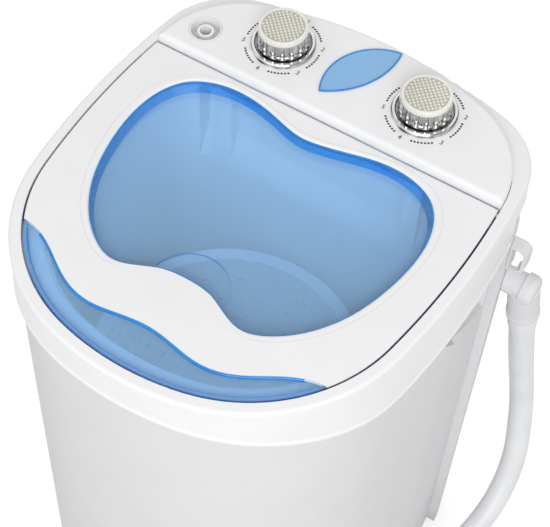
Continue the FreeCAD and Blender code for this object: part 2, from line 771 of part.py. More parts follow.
def make_leaf_lens():
    lens = slab(leaf_wire(0, -WALL), WALL + LENS_PROUD)
    lens = lens.makeFillet(LENS_PROUD * 0.8, edges_where(lens, at_height(LENS_PROUD)))
    lip = slab(leaf_wire(LENS_LIP, -WALL - LENS_LIP_THICKNESS), LENS_LIP_THICKNESS)
    return on_panel(lens.fuse(lip))


def make_inlet_cup():
    bottom = -INLET_DEPTH
    shell = tube(INLET_RADIUS - FIT, INLET_RADIUS - FIT - WALL / 2, INLET_X, INLET_Y, bottom, 0)
    flange = tube(INLET_RADIUS + WALL, INLET_RADIUS - FIT - WALL / 2, INLET_X, INLET_Y, -2 * WALL, -WALL)
    floor = tube(INLET_RADIUS - FIT, TAIL_RADIUS + SHAFT_FIT, INLET_X, INLET_Y, bottom - WALL, bottom)
    return on_panel(shell.fuse([flange, floor]))


def make_inlet_nozzle():
    bore = NOZZLE_RADIUS - NOZZLE_WALL
    step = -NOZZLE_DROP - NOZZLE_REACH
    under = -INLET_DEPTH - WALL
    head = tube(NOZZLE_RADIUS, bore, INLET_X, INLET_Y, step, -NOZZLE_DROP)
    tail = tube(TAIL_RADIUS, bore, INLET_X, INLET_Y, under - NOZZLE_TAIL, step)
    stop = tube(NOZZLE_RADIUS + WALL, bore, INLET_X, INLET_Y, under - WALL, under)
    return on_panel(head.fuse([tail, stop]))


def nozzle_end():
    """Lower end of the nozzle and the way that it points."""
    tilt = math.radians(PANEL_TILT)
    down = Vector(0, math.sin(tilt), -math.cos(tilt))
    top = on_panel(Part.Vertex(INLET_X, INLET_Y, 0)).Point
    return top + down * (INLET_DEPTH + WALL + NOZZLE_TAIL), down


def make_inlet_pipe():
    """Short pipe from the nozzle's end to the spout in the tub's rear wall."""
    start, down = nozzle_end()
    spout_z = TOP_Z - PIPE_SPOUT_DROP
    turn = start + down * ((start.z - spout_z) / -down.z)
    points = [start, turn, Vector(PIPE_SPOUT_X, turn.y, spout_z),
              Vector(PIPE_SPOUT_X, TUB_REAR + POCKET_SETBACK, spout_z)]
    return bent_pipe(points, TAIL_RADIUS, NOZZLE_RADIUS - NOZZLE_WALL, PIPE_BEND)


def make_timer(x):
    half = TIMER_SIZE / 2
    box = block(x - half, x + half, KNOB_Y - half, KNOB_Y + half, -WALL - TIMER_HEIGHT, -WALL)
    box = box.makeFillet(EDGE_ROUND, edges_where(box, is_upright))
    return on_panel(box.cut(post(TIMER_SHAFT_RADIUS + SHAFT_FIT, x, KNOB_Y, -WALL - TIMER_HEIGHT / 2, FAR)))


def make_timer_shaft(x):
    low = -WALL - TIMER_HEIGHT / 2
    return on_panel(post(TIMER_SHAFT_RADIUS, x, KNOB_Y, low, KNOB_LIFT + KNOB_HEIGHT - WALL))


def make_knob_bezel(x):
    ring = tube(BEZEL_RADIUS, KNOB_RADIUS + BEZEL_GAP, x, KNOB_Y, 0, BEZEL_HEIGHT)
    return on_panel(ring.makeChamfer(BEZEL_HEIGHT / 4, edges_where(ring, at_height(BEZEL_HEIGHT))))


def make_knob_skirt(x):
    base = Vector(x, KNOB_Y, KNOB_LIFT)
    skirt = Part.makeCone(KNOB_RADIUS, KNOB_RADIUS - KNOB_TAPER, KNOB_HEIGHT, base)
    flutes = []
    for index in range(KNOB_FLUTES):
        angle = 2 * math.pi * index / KNOB_FLUTES
        reach = KNOB_RADIUS + FLUTE_RADIUS / 3
        flutes.append(post(FLUTE_RADIUS, x + reach * math.cos(angle), KNOB_Y + reach * math.sin(angle),
                           BEZEL_HEIGHT + KNOB_LIFT, FAR))
    bore = post(TIMER_SHAFT_RADIUS + SHAFT_FIT, x, KNOB_Y, 0, KNOB_LIFT + KNOB_HEIGHT - WALL)
    return on_panel(skirt.cut(flutes + [bore]))


def make_knob_cap(x):
    low = KNOB_LIFT + KNOB_HEIGHT
    cap = post(CAP_RADIUS, x, KNOB_Y, low, low + CAP_HEIGHT)
    return on_panel(rounded(cap, CAP_HEIGHT / 3, at_height(low + CAP_HEIGHT)))


def lid_nose():
    """Everything ahead of the hinge axis, and a round nose about the axis."""
    nose = rod(NOSE_RADIUS, Vector(-FAR, AXIS_Y, AXIS_Z), Vector(FAR, AXIS_Y, AXIS_Z))
    return ahead_of(AXIS_Y).fuse(nose)


def pin_bores():
    reach = HALF_WIDTH - LID_INSET
    return [rod(PIN_RADIUS + SHAFT_FIT, Vector(side * (reach - PIN_LENGTH), AXIS_Y, AXIS_Z),
                Vector(side * HALF_WIDTH, AXIS_Y, AXIS_Z)) for side in (-1, 1)]


def window_wire(grow, z):
    """The window's outline at height z, grown outwards by about grow."""
    side = max(x for x, y in WINDOW_HALF)
    scale = 1 + grow / side
    middle = (WINDOW_HALF[0][1] + WINDOW_HALF[-1][1]) / 2
    outline = [(x * scale, middle + (y - middle) * scale) for x, y in WINDOW_HALF]
    wire = Part.Wire(mirrored_curve(outline, True))
    wire.translate(Vector(0, 0, z))
    return wire


def window_slab(grow, low, high):
    return slab(window_wire(grow, low), high - low)


def tray_space(grow, low):
    """Room of the sunk window: its outline at the plate's top, leaning in to a smaller floor."""
    return Part.makeLoft([window_wire(grow - TRAY_LEAN, low), window_wire(grow, PLATE_TOP)], True, True)


def crescent_slab(low, high):
    """Everything ahead of the wavy front edge of the lid's frame."""
    wave = mirrored_curve(WAVE_HALF, False)
    reach, tip_y = WAVE_HALF[-1]
    beyond = -2 * FRONT
    corners = [Vector(reach, tip_y, 0), Vector(reach, beyond, 0),
               Vector(-reach, beyond, 0), Vector(-reach, tip_y, 0)]
    face = Part.Face(Part.Wire([wave] + Part.makePolygon(corners).Edges))
    face.translate(Vector(0, 0, low))
    return face.extrude(Vector(0, 0, high - low))


def make_lid_frame():
    """White upper frame: a rounded lip round the window, a groove outside it and a scoop at the front."""
    frame = casing_slab(LID_INSET, PLATE_TOP, TOP_Z).cut(window_slab(0, PLATE_TOP, TOP_Z))
    window_edge = window_wire(0, TOP_Z).Edges[0].BoundBox
    frame = rounded(frame, LIP_ROUND, lambda edge: is_level(edge) and edge.BoundBox.ZMax > TOP_Z - TOUCH
                    and abs(edge.BoundBox.XMax - window_edge.XMax) < LIP_ROUND)
    groove = window_slab(LIP_WIDTH + LIP_GROOVE, TOP_Z - LIP_GROOVE_DEPTH, TOP_Z)
    groove = groove.cut(window_slab(LIP_WIDTH, TOP_Z - LIP_GROOVE_DEPTH, TOP_Z))
    scoop = Part.makeCone(0, SCOOP_RADIUS, SCOOP_DEPTH, Vector(0, SCOOP_Y, TOP_Z - SCOOP_DEPTH))
    scoop = scoop.common(ahead_of(SCOOP_Y))
    frame = frame.common(lid_nose()).cut([crescent_slab(PLATE_TOP, TOP_Z), scoop, groove])
    return frame.cut(pin_bores())


def make_lid_window():
    plate = casing_slab(LID_INSET, PLATE_BOTTOM, PLATE_TOP)
    rim = casing_slab(LID_INSET, LID_BOTTOM, TOP_Z - LID_BEAD_DROP)
    rim = rim.cut(casing_slab(LID_INSET + LID_RIM, LID_BOTTOM, TOP_Z))
    rim = rim.cut(casing_slab(0, PLATE_TOP, TOP_Z).cut(crescent_slab(PLATE_TOP, TOP_Z)))
    rear_bar = casing_slab(LID_INSET, LID_BOTTOM, PLATE_BOTTOM).common(behind(AXIS_Y - NOSE_RADIUS))
    tray = tray_space(LID_RIM, TRAY_BOTTOM)
    lid = plate.fuse([rim, rear_bar, tray]).common(lid_nose())
    window_front = WINDOW_HALF[-1][1]
    pocket = post(POCKET_RADIUS, 0, window_front, TRAY_TOP - POCKET_DEPTH, PLATE_TOP)
    pocket = pocket.common(window_slab(-TRAY_LEAN, TRAY_BOTTOM, PLATE_TOP))
    return lid.cut([tray_space(0, TRAY_TOP), pocket] + pin_bores())


def make_hinge_pins():
    pins = []
    inner = HALF_WIDTH - LID_INSET - PIN_LENGTH
    outer = HALF_WIDTH - RIM_WIDTH + WALL - LID_GAP
    for side in (-1, 1):
        start = Vector(side * inner, AXIS_Y, AXIS_Z)
        pins.append(rod(PIN_RADIUS, start, Vector(side * outer, AXIS_Y, AXIS_Z)))
    return Part.makeCompound(pins)


def sump_hole(radius, low, high):
    return post(radius, SUMP_X, SUMP_Y, low, high)


def make_wash_tub():
    tub_top = DECK_BOTTOM
    outer = tub_prism(TUB_OUTER_INSET, TUB_REAR + WALL, TUB_FLOOR - WALL, tub_top, TUB_CORNER + WALL)
    outer = rounded(outer, TUB_FLOOR_ROUND + WALL, at_height(TUB_FLOOR - WALL))
    inner = tub_prism(TUB_INNER_INSET, TUB_REAR, TUB_FLOOR, tub_top + WALL, TUB_CORNER)
    inner = rounded(inner, TUB_FLOOR_ROUND, at_height(TUB_FLOOR))
    flange = casing_slab(MOUTH_INSET - TUB_FLANGE, tub_top - WALL, tub_top)
    flange = flange.common(ahead_of(TUB_REAR + POCKET_SETBACK + WALL))
    well = post(RECESS_RADIUS + WALL, 0, DRUM_Y, RECESS_FLOOR - WALL, TUB_FLOOR)
    hub = post(HOUSING_FLANGE_RADIUS, 0, DRUM_Y, HUB_DISC_BOTTOM, RECESS_FLOOR)
    outside = outer.fuse([flange, pocket_space(WALL), well, hub])
    spout_z = TOP_Z - PIPE_SPOUT_DROP
    cuts = [inner, pocket_space(0), post(RECESS_RADIUS, 0, DRUM_Y, RECESS_FLOOR, TUB_FLOOR + WALL),
            post(SEAL_RADIUS + SHAFT_FIT, 0, DRUM_Y, 0, TUB_FLOOR),
            sump_hole(SUMP_RADIUS, 0, TUB_FLOOR + WALL),
            rod(TAIL_RADIUS + FIT, Vector(PIPE_SPOUT_X, TUB_REAR, spout_z),
                Vector(PIPE_SPOUT_X, FAR, spout_z))]
    cuts += [post(SCREW_RADIUS + SHAFT_FIT, x, y, HUB_DISC_BOTTOM, HUB_DISC_BOTTOM + HUB_DISC)
             for x, y in housing_screw_places()]
    tub = outside.cut(cuts)
    shoulder = pocket_space(WALL).cut(pocket_space(0))
    for side in (-1, 1):
        x = side * POST_X
        y = TUB_REAR + POCKET_SETBACK / 2
        upright = block(x - POST_WIDTH / 2, x + POST_WIDTH / 2, y - POST_THICKNESS / 2,
                        y + POST_THICKNESS / 2, TOP_Z - POCKET_BOTTOM_DROP, tub_top)
        upright = upright.common(pocket_space(0)).cut(shoulder)
        tub = tub.fuse(upright)
    return tub.removeSplitter()


def housing_screw_places():
    reach = (HOUSING_FLANGE_RADIUS + HOUSING_RADIUS) / 2
    angles = [math.pi * quarter / 2 for quarter in range(4)]
    return [(reach * math.cos(angle), DRUM_Y + reach * math.sin(angle)) for angle in angles]


def make_pulsator():
    disc = post(PULSATOR_RADIUS, 0, DRUM_Y, PULSATOR_BOTTOM, PULSATOR_TOP)
    disc = rounded(disc, PULSATOR_DISC / 3, at_height(PULSATOR_TOP))
    hub = post(HUB_RADIUS, 0, DRUM_Y, PULSATOR_BOTTOM, HUB_TOP)
    hub = rounded(hub, WALL, at_height(HUB_TOP))
    fins = []
    for index in range(FIN_COUNT):
        fin = block(0, PULSATOR_RADIUS - FIN_WIDTH, -FIN_WIDTH / 2, FIN_WIDTH / 2, PULSATOR_BOTTOM, FIN_TOP)
        fin.rotate(Vector(0, 0, 0), UP, 360 * index / FIN_COUNT)
        fin.translate(Vector(0, DRUM_Y, 0))
        fins.append(fin)
    bores = [post(SHAFT_RADIUS + SHAFT_FIT, 0, DRUM_Y, 0, SHAFT_TOP),
             post(SCREW_RADIUS + SHAFT_FIT, 0, DRUM_Y, 0, FAR),
             post(SCREW_HEAD_RADIUS + FIT, 0, DRUM_Y, SCREW_SEAT, FAR)]
    return disc.fuse([hub] + fins).cut(bores)


def make_pulsator_screw():
    shank = post(SCREW_RADIUS, 0, DRUM_Y, SCREW_SEAT - SCREW_LENGTH, SCREW_SEAT)
    return shank.fuse(post(SCREW_HEAD_RADIUS, 0, DRUM_Y, SCREW_SEAT, SCREW_SEAT + SCREW_HEAD))


def make_spin_basket():
    """Perforated basket that stands on the pulsator's fins, with a broad rim."""
    height = BASKET_TOP - FIN_TOP
    foot = Vector(0, DRUM_Y, FIN_TOP)
    outer = Part.makeCone(BASKET_FLOOR_RADIUS, BASKET_TOP_RADIUS, height, foot)
    inner = Part.makeCone(BASKET_FLOOR_RADIUS - WALL, BASKET_TOP_RADIUS - WALL, height, foot)
    inner = inner.cut(post(FAR, 0, DRUM_Y, FIN_TOP, FIN_TOP + WALL))
    rim = post(BASKET_RIM_RADIUS, 0, DRUM_Y, BASKET_TOP - BASKET_RIM_HEIGHT, BASKET_TOP)
    rim = rounded(rim, WALL, at_height(BASKET_TOP))
    under = tube(BASKET_RIM_RADIUS - WALL, BASKET_TOP_RADIUS, 0, DRUM_Y, 0, BASKET_TOP - WALL)
    cuts = [inner, post(HUB_RADIUS + FIT, 0, DRUM_Y, 0, FIN_TOP + WALL)]
    row_step = height / (BASKET_HOLE_ROWS + 1)
    for row in range(BASKET_HOLE_ROWS):
        z = FIN_TOP + row_step * (row + 1)
        for index in range(BASKET_HOLES_PER_ROW):
            angle = 2 * math.pi * (index + row % 2 / 2) / BASKET_HOLES_PER_ROW
            way = Vector(math.cos(angle), math.sin(angle), 0)
            start = Vector(0, DRUM_Y, z) + way * (BASKET_FLOOR_RADIUS - 3 * WALL)
            cuts.append(rod(BASKET_HOLE_RADIUS, start, start + way * BASKET_RIM_RADIUS))
    return outer.fuse(rim.cut(under)).cut(cuts)


def make_drive_shaft():
    shaft = post(SHAFT_RADIUS, 0, DRUM_Y, SHAFT_BOTTOM, SHAFT_TOP)
    return shaft.cut(post(SCREW_RADIUS + SHAFT_FIT, 0, DRUM_Y, SCREW_SEAT - SCREW_LENGTH, FAR))


def make_shaft_seal():
    return tube(SEAL_RADIUS, SHAFT_RADIUS + SHAFT_FIT, 0, DRUM_Y, HUB_DISC_BOTTOM, RECESS_FLOOR)


def make_bearing_housing():
    flange_top = HUB_DISC_BOTTOM
    flange = post(HOUSING_FLANGE_RADIUS, 0, DRUM_Y, flange_top - HOUSING_FLANGE, flange_top)
    barrel_part = post(HOUSING_RADIUS, 0, DRUM_Y, HOUSING_BOTTOM, flange_top)
    holes = [post(BUSH_RADIUS + SHAFT_FIT, 0, DRUM_Y, 0, FAR)]
    holes += [post(SCREW_RADIUS + SHAFT_FIT, x, y, 0, FAR) for x, y in housing_screw_places()]
    return flange.fuse(barrel_part).cut(holes)


def make_housing_screws():
    screws = []
    seat = HUB_DISC_BOTTOM - HOUSING_FLANGE
    for x, y in housing_screw_places():
        head = post(SCREW_HEAD_RADIUS, x, y, seat - SCREW_HEAD, seat)
        screws.append(head.fuse(post(SCREW_RADIUS, x, y, seat, seat + HOUSING_FLANGE + HUB_DISC)))
    return Part.makeCompound(screws)


def make_bush(low):
    return tube(BUSH_RADIUS, SHAFT_RADIUS + SHAFT_FIT, 0, DRUM_Y, low, low + BUSH_HEIGHT)


def make_pulley(radius, bore, y, hub_radius):
    """Flat pulley with a groove for the belt."""
    wheel = tube(radius, bore + SHAFT_FIT, 0, y, PULLEY_BOTTOM, PULLEY_TOP)
    groove_half = BELT_WIDTH / 2 + FIT
    groove = tube(2 * radius, radius - BELT_SINK, 0, y, PULLEY_MIDDLE - groove_half,
                  PULLEY_MIDDLE + groove_half)
    wheel = wheel.cut(groove)
    if hub_radius > 0:
        dish = tube(radius - BELT_SINK - 2 * WALL, hub_radius, 0, y, PULLEY_MIDDLE + WALL, PULLEY_TOP)
        wheel = wheel.cut(dish)
    return wheel


def belt_wire(gap):
    """Loop round both pulleys, gap away from the groove bottoms."""
    big = DRIVEN_RADIUS - BELT_SINK + gap
    small = MOTOR_PULLEY_RADIUS - BELT_SINK + gap
    angle = math.asin((big - small) / (MOTOR_Y - DRUM_Y))
    rise = math.sin(angle)
    reach = math.cos(angle)
    big_right = Vector(big * reach, DRUM_Y + big * rise, 0)
    small_right = Vector(small * reach, MOTOR_Y + small * rise, 0)
    edges = [arc(mirrored(big_right), Vector(0, DRUM_Y - big, 0), big_right),
             Part.LineSegment(big_right, small_right).toShape(),
             arc(small_right, Vector(0, MOTOR_Y + small, 0), mirrored(small_right)),
             Part.LineSegment(mirrored(small_right), mirrored(big_right)).toShape()]
    wire = Part.Wire(edges)
    wire.translate(Vector(0, 0, PULLEY_MIDDLE - BELT_WIDTH / 2))
    return wire


def make_drive_belt():
    return slab(belt_wire(FIT + BELT_THICKNESS), BELT_WIDTH).cut(slab(belt_wire(FIT), BELT_WIDTH))


def make_pulley_nut():
    points = []
    for index in range(NUT_SIDES + 1):
        angle = 2 * math.pi * index / NUT_SIDES
        x = NUT_RADIUS * math.cos(angle)
        points.append(Vector(x, DRUM_Y + NUT_RADIUS * math.sin(angle), SHAFT_BOTTOM))
    nut = Part.Face(Part.makePolygon(points)).extrude(Vector(0, 0, PULLEY_BOTTOM - SHAFT_BOTTOM))
    return nut.cut(post(SHAFT_RADIUS + SHAFT_FIT, 0, DRUM_Y, 0, FAR))


def make_motor():
    can = post(MOTOR_RADIUS, 0, MOTOR_Y, MOTOR_BOTTOM, MOTOR_TOP)
    can = rounded(can, EDGE_ROUND, is_level)
    band = tube(MOTOR_RADIUS + 2 * WALL, MOTOR_RADIUS - WALL, 0, MOTOR_Y, MOTOR_BOTTOM + MOTOR_HEIGHT / 4,
                MOTOR_TOP - MOTOR_HEIGHT / 4)
    holes = [post(MOTOR_SHAFT_RADIUS + SHAFT_FIT, 0, MOTOR_Y, MOTOR_BOTTOM + WALL, FAR)]
    holes += [post(SCREW_RADIUS + SHAFT_FIT, x, y, 0, MOTOR_BOTTOM + SCREW_LENGTH)
              for x, y in motor_screw_places()]
    return can.fuse(band).cut(holes)


def motor_screw_places():
    reach = MOTOR_RADIUS * 0.7
    angles = [math.pi * (quarter + 0.5) / 2 for quarter in range(4)]
    return [(reach * math.cos(angle), MOTOR_Y + reach * math.sin(angle)) for angle in angles]


def mount_places():
    reach_x = BRACKET_HALF_X - MOUNT_RADIUS
    reach_y = BRACKET_HALF_Y - MOUNT_RADIUS
    return [(sx * reach_x, MOTOR_Y + sy * reach_y) for sx in (-1, 1) for sy in (-1, 1)]


def make_motor_shaft():
    return post(MOTOR_SHAFT_RADIUS, 0, MOTOR_Y, MOTOR_BOTTOM + WALL, PULLEY_TOP)


def make_motor_bracket():
    plate = block(-BRACKET_HALF_X, BRACKET_HALF_X, MOTOR_Y - BRACKET_HALF_Y, MOTOR_Y + BRACKET_HALF_Y,
                  BRACKET_BOTTOM, MOTOR_BOTTOM)
    plate = plate.makeFillet(MOUNT_RADIUS, edges_where(plate, is_upright))
    return plate.cut([post(SCREW_RADIUS + SHAFT_FIT, x, y, 0, FAR) for x, y in motor_screw_places()])


def make_motor_mounts():
    mounts = [post(MOUNT_RADIUS, x, y, BODY_BOTTOM, BRACKET_BOTTOM) for x, y in mount_places()]
    return Part.makeCompound(mounts)


def make_motor_screws():
    screws = []
    for x, y in motor_screw_places():
        head = post(SCREW_HEAD_RADIUS, x, y, BRACKET_BOTTOM - SCREW_HEAD, BRACKET_BOTTOM)
        screws.append(head.fuse(post(SCREW_RADIUS, x, y, BRACKET_BOTTOM, BRACKET_BOTTOM + SCREW_LENGTH)))
    return Part.makeCompound(screws)


def make_capacitor():
    low = BODY_BOTTOM + WALL
    can = post(CAPACITOR_RADIUS, CAPACITOR_X, CAPACITOR_Y, low, low + CAPACITOR_HEIGHT)
    return rounded(can, WALL, at_height(low + CAPACITOR_HEIGHT))


def make_capacitor_cup():
    """Cup that holds the capacitor on the base plate."""
    outer = CAPACITOR_RADIUS + FIT + WALL
    cup = post(outer, CAPACITOR_X, CAPACITOR_Y, BODY_BOTTOM, BODY_BOTTOM + CAPACITOR_HEIGHT / 3)
    return cup.cut(post(CAPACITOR_RADIUS + FIT, CAPACITOR_X, CAPACITOR_Y, BODY_BOTTOM + WALL, FAR))


def make_drain_strainer():
    """Pierced disc on the tub floor over the sump."""
    disc = sump_hole(STRAINER_RADIUS, TUB_FLOOR, TUB_FLOOR + WALL)
    disc = disc.makeChamfer(WALL / 2, edges_where(disc, at_height(TUB_FLOOR + WALL)))
    holes = [sump_hole(WALL / 2, 0, FAR)]
    ring = SUMP_RADIUS * 0.6
    for index in range(6):
        angle = math.pi * index / 3
        x = SUMP_X + ring * math.cos(angle)
        holes.append(post(WALL / 2, x, SUMP_Y + ring * math.sin(angle), 0, FAR))
    return disc.cut(holes)


def make_drain_sump():
    """Flanged spigot under the tub floor."""
    top = TUB_FLOOR - WALL
    flange = sump_hole(SUMP_RADIUS + 2 * WALL, top - WALL, top)
    neck = sump_hole(SPIGOT_RADIUS, top - 3 * HOSE_LAP, top)
    return flange.fuse(neck).cut(sump_hole(SPIGOT_RADIUS - SPIGOT_WALL, 0, FAR))


def outlet_tail_x():
    """Inner end of the outlet's straight part, behind the body's side wall."""
    return side_at(BODY_INSET + WALL, OUTLET_Y) - OUTLET_TAIL


def make_drain_pipe():
    """Hose from the sump down to the outlet, inside the body."""
    tail_x = outlet_tail_x()
    points = [Vector(SUMP_X, SUMP_Y, TUB_FLOOR - WALL - 2 * HOSE_LAP),
              Vector(SUMP_X, SUMP_Y, OUTLET_Z),
              Vector(tail_x - SPIGOT_BEND, OUTLET_Y, OUTLET_Z),
              Vector(tail_x + HOSE_LAP, OUTLET_Y, OUTLET_Z)]
    return bent_pipe(points, HOSE_RADIUS, HOSE_RADIUS - HOSE_WALL, SPIGOT_BEND)


def make_drain_outlet():
    """Elbow through the body's right side, with a flange against the wall."""
    start = Vector(outlet_tail_x(), OUTLET_Y, OUTLET_Z)
    turn = Vector(OUTLET_X, OUTLET_Y, OUTLET_Z)
    end = Vector(OUTLET_X, OUTLET_Y + OUTLET_SETBACK + HOSE_LAP, OUTLET_Z)
    elbow = bent_pipe([start, turn, end], SPIGOT_RADIUS, SPIGOT_RADIUS - SPIGOT_WALL, SPIGOT_BEND)
    flange = rod(SPIGOT_RADIUS + 2 * WALL, start, turn - Vector(SPIGOT_BEND + SPIGOT_RADIUS, 0, 0))
    flange = flange.cut([body_solid(-FIT, BODY_BOTTOM, NECK_TOP),
                         rod(SPIGOT_RADIUS - SPIGOT_WALL, start, turn)])
    return elbow.fuse(flange)


def hose_bend_radius(before, here, after, turn):
    """Largest arc that the two runs at a route point allow."""
    shorter = min((here - before).Length, (after - here).Length)
    return HOSE_ARC_SHARE * shorter / math.tan(turn / 2)


def make_drain_hose():
    points = [Vector(*point) for point in HOSE_POINTS]
    path = rounded_path(points, hose_bend_radius)
    hose = pipe_along(path, points[0], hose_direction(), HOSE_RADIUS)
    hose = hose.cut(pipe_along(path, points[0], hose_direction(), HOSE_RADIUS - HOSE_WALL))
    section = math.pi * (HOSE_RADIUS ** 2 - (HOSE_RADIUS - HOSE_WALL) ** 2)
    radii = [edge.Curve.Radius for edge in path.Edges if hasattr(edge.Curve, "Radius")]
    print("hose radii, mm:", [round(radius) for radius in radii])
    print("hose length, mm:", round(path.Length), "volume over section times length:",
          round(hose.Volume / (section * path.Length), 4))
    return hose


def make_hose_cuff():
    start = Vector(*HOSE_POINTS[0])
    end = start + hose_direction() * CUFF_HEIGHT
    return rod(CUFF_RADIUS, start, end).cut(rod(HOSE_RADIUS + SHAFT_FIT, start, end))


def make_hose_elbow():
    """Domed elbow on the hose's upper end, with a stub into the body's side."""
    foot = Vector(*HOSE_POINTS[0])
    centre = elbow_centre()
    along = hose_direction()
    inside = elbow_inner_end()
    ring_end = foot - along * ELBOW_RING
    stub = rod(STUB_RADIUS, inside, centre).cut(body_solid(-FIT, BODY_BOTTOM, NECK_TOP))
    end_x = centre.x + ELBOW_END
    end = rod(ELBOW_RADIUS, centre, Vector(end_x, centre.y, centre.z))
    end = rounded(end, ELBOW_ROUND, ends_at(end_x))
    shell = end.fuse([
        rod(ELBOW_RADIUS, foot, centre),
        rod(ELBOW_RADIUS + ELBOW_RING_PROUD, foot, ring_end),
        stub,
        rod(SPIGOT_RADIUS, inside, centre),
        rod(SPIGOT_RADIUS, foot + along * HOSE_LAP, centre)])
    bore = SPIGOT_RADIUS - SPIGOT_WALL
    return shell.cut([Part.makeSphere(bore, centre), rod(bore, inside, centre),
                      rod(bore, foot + along * HOSE_LAP, centre)])


def make_hose_clip():
    """Hook on the body's right side: a back plate, and an arm that curls round to an open mouth."""
    wall_x = side_at(0, CLIP_Y)
    low = CLIP_Z - CLIP_RISE / 2
    high = CLIP_Z + CLIP_RISE / 2
    front = CLIP_Y - CLIP_WIDTH / 2
    rear = CLIP_Y + CLIP_WIDTH / 2
    outer_x = wall_x + CLIP_REACH
    outside = block(wall_x - CLIP_REACH, outer_x, front, rear, low, high)
    outside = rounded(outside, CLIP_REACH / 2, across_from(wall_x))
    inner_x = outer_x - CLIP_WALL
    inside = block(wall_x + CLIP_WALL, inner_x, front, rear, low + CLIP_WALL, high - CLIP_WALL)
    inside = rounded(inside, CLIP_REACH / 2 - CLIP_WALL, across_from(wall_x + 2 * CLIP_WALL))
    mouth = block(wall_x + CLIP_WALL, wall_x + CLIP_WALL + CLIP_MOUTH, front, rear, low, CLIP_Z)
    return outside.cut([inside, mouth, body_solid(-FIT, BODY_BOTTOM, NECK_TOP)]).common(
        block(wall_x - CLIP_WALL, outer_x, front, rear, low, high))


def make_cord_gland():
    """Bush in the rear wall for a mains cord."""
    rear = rear_at(0, GLAND_X)
    inside = Vector(GLAND_X, rear - GLAND_RADIUS, GLAND_Z)
    face = Vector(GLAND_X, rear + GLAND_FLANGE, GLAND_Z)
    flange = rod(GLAND_FLANGE_RADIUS, Vector(GLAND_X, rear - GLAND_FLANGE, GLAND_Z), face)
    flange = flange.cut(body_solid(-FIT, BODY_BOTTOM, NECK_TOP)).common(behind(rear - GLAND_FLANGE))
    return rod(GLAND_RADIUS, inside, face).fuse(flange).cut(rod(GLAND_BORE, inside, face))


def make_lid_buffers():
    """Soft buttons under the lid's sides that meet the deck."""
    x = side_at(BUFFER_INSET, BUFFER_Y)
    low = DECK_TOP + FIT
    buffers = [post(BUFFER_RADIUS, side * x, BUFFER_Y, low, PLATE_BOTTOM) for side in (-1, 1)]
    return Part.makeCompound(buffers)


def make_parts():
    """Every piece by name."""
    shell = make_shell()
    parts = {
        "body_shell": shell.common(ahead_of(CHANNEL_REAR)),
        "rear_shell": shell.common(behind(CHANNEL_REAR + FIT)),
        "base_plate": make_base_plate(),
        "feet": make_feet(),
        "base_screws": make_base_screws(),
        "top_collar": make_top_collar(),
        "control_panel": make_control_panel(),
        "leaf_lens": make_leaf_lens(),
        "inlet_cup": make_inlet_cup(),
        "inlet_nozzle": make_inlet_nozzle(),
        "inlet_pipe": make_inlet_pipe(),
        "lid_frame": make_lid_frame(),
        "lid_window": make_lid_window(),
        "hinge_pins": make_hinge_pins(),
        "lid_buffers": make_lid_buffers(),
        "wash_tub": make_wash_tub(),
        "pulsator": make_pulsator(),
        "pulsator_screw": make_pulsator_screw(),
        "spin_basket": make_spin_basket(),
        "drive_shaft": make_drive_shaft(),
        "shaft_seal": make_shaft_seal(),
        "bearing_housing": make_bearing_housing(),
        "housing_screws": make_housing_screws(),
        "upper_bush": make_bush(HUB_DISC_BOTTOM - BUSH_HEIGHT),
        "lower_bush": make_bush(HOUSING_BOTTOM),
        "driven_pulley": make_pulley(DRIVEN_RADIUS, SHAFT_RADIUS, DRUM_Y, HOUSING_RADIUS),
        "pulley_nut": make_pulley_nut(),
        "drive_belt": make_drive_belt(),
        "motor_pulley": make_pulley(MOTOR_PULLEY_RADIUS, MOTOR_SHAFT_RADIUS, MOTOR_Y, 0),
        "motor": make_motor(),
        "motor_shaft": make_motor_shaft(),
        "motor_bracket": make_motor_bracket(),
        "motor_mounts": make_motor_mounts(),
        "motor_screws": make_motor_screws(),
        "capacitor": make_capacitor(),
        "capacitor_cup": make_capacitor_cup(),
        "drain_strainer": make_drain_strainer(),
        "drain_sump": make_drain_sump(),
        "drain_pipe": make_drain_pipe(),
        "drain_outlet": make_drain_outlet(),
        "drain_hose": make_drain_hose(),
        "hose_cuff": make_hose_cuff(),
        "hose_elbow": make_hose_elbow(),
        "hose_clip": make_hose_clip(),
        "cord_gland": make_cord_gland(),
    }
    for name, x in knob_places().items():
        parts[name + "_timer"] = make_timer(x)
        parts[name + "_timer_shaft"] = make_timer_shaft(x)
        parts[name + "_knob_bezel"] = make_knob_bezel(x)
        parts[name + "_knob_skirt"] = make_knob_skirt(x)
        parts[name + "_knob_cap"] = make_knob_cap(x)
    return parts


os.makedirs("parts", exist_ok=True)
for part_name, part_shape in make_parts().items():
    part_shape.exportStep("parts/" + part_name + ".step")
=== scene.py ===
import json
import math

import bmesh
import bpy
from mathutils import Matrix, Vector


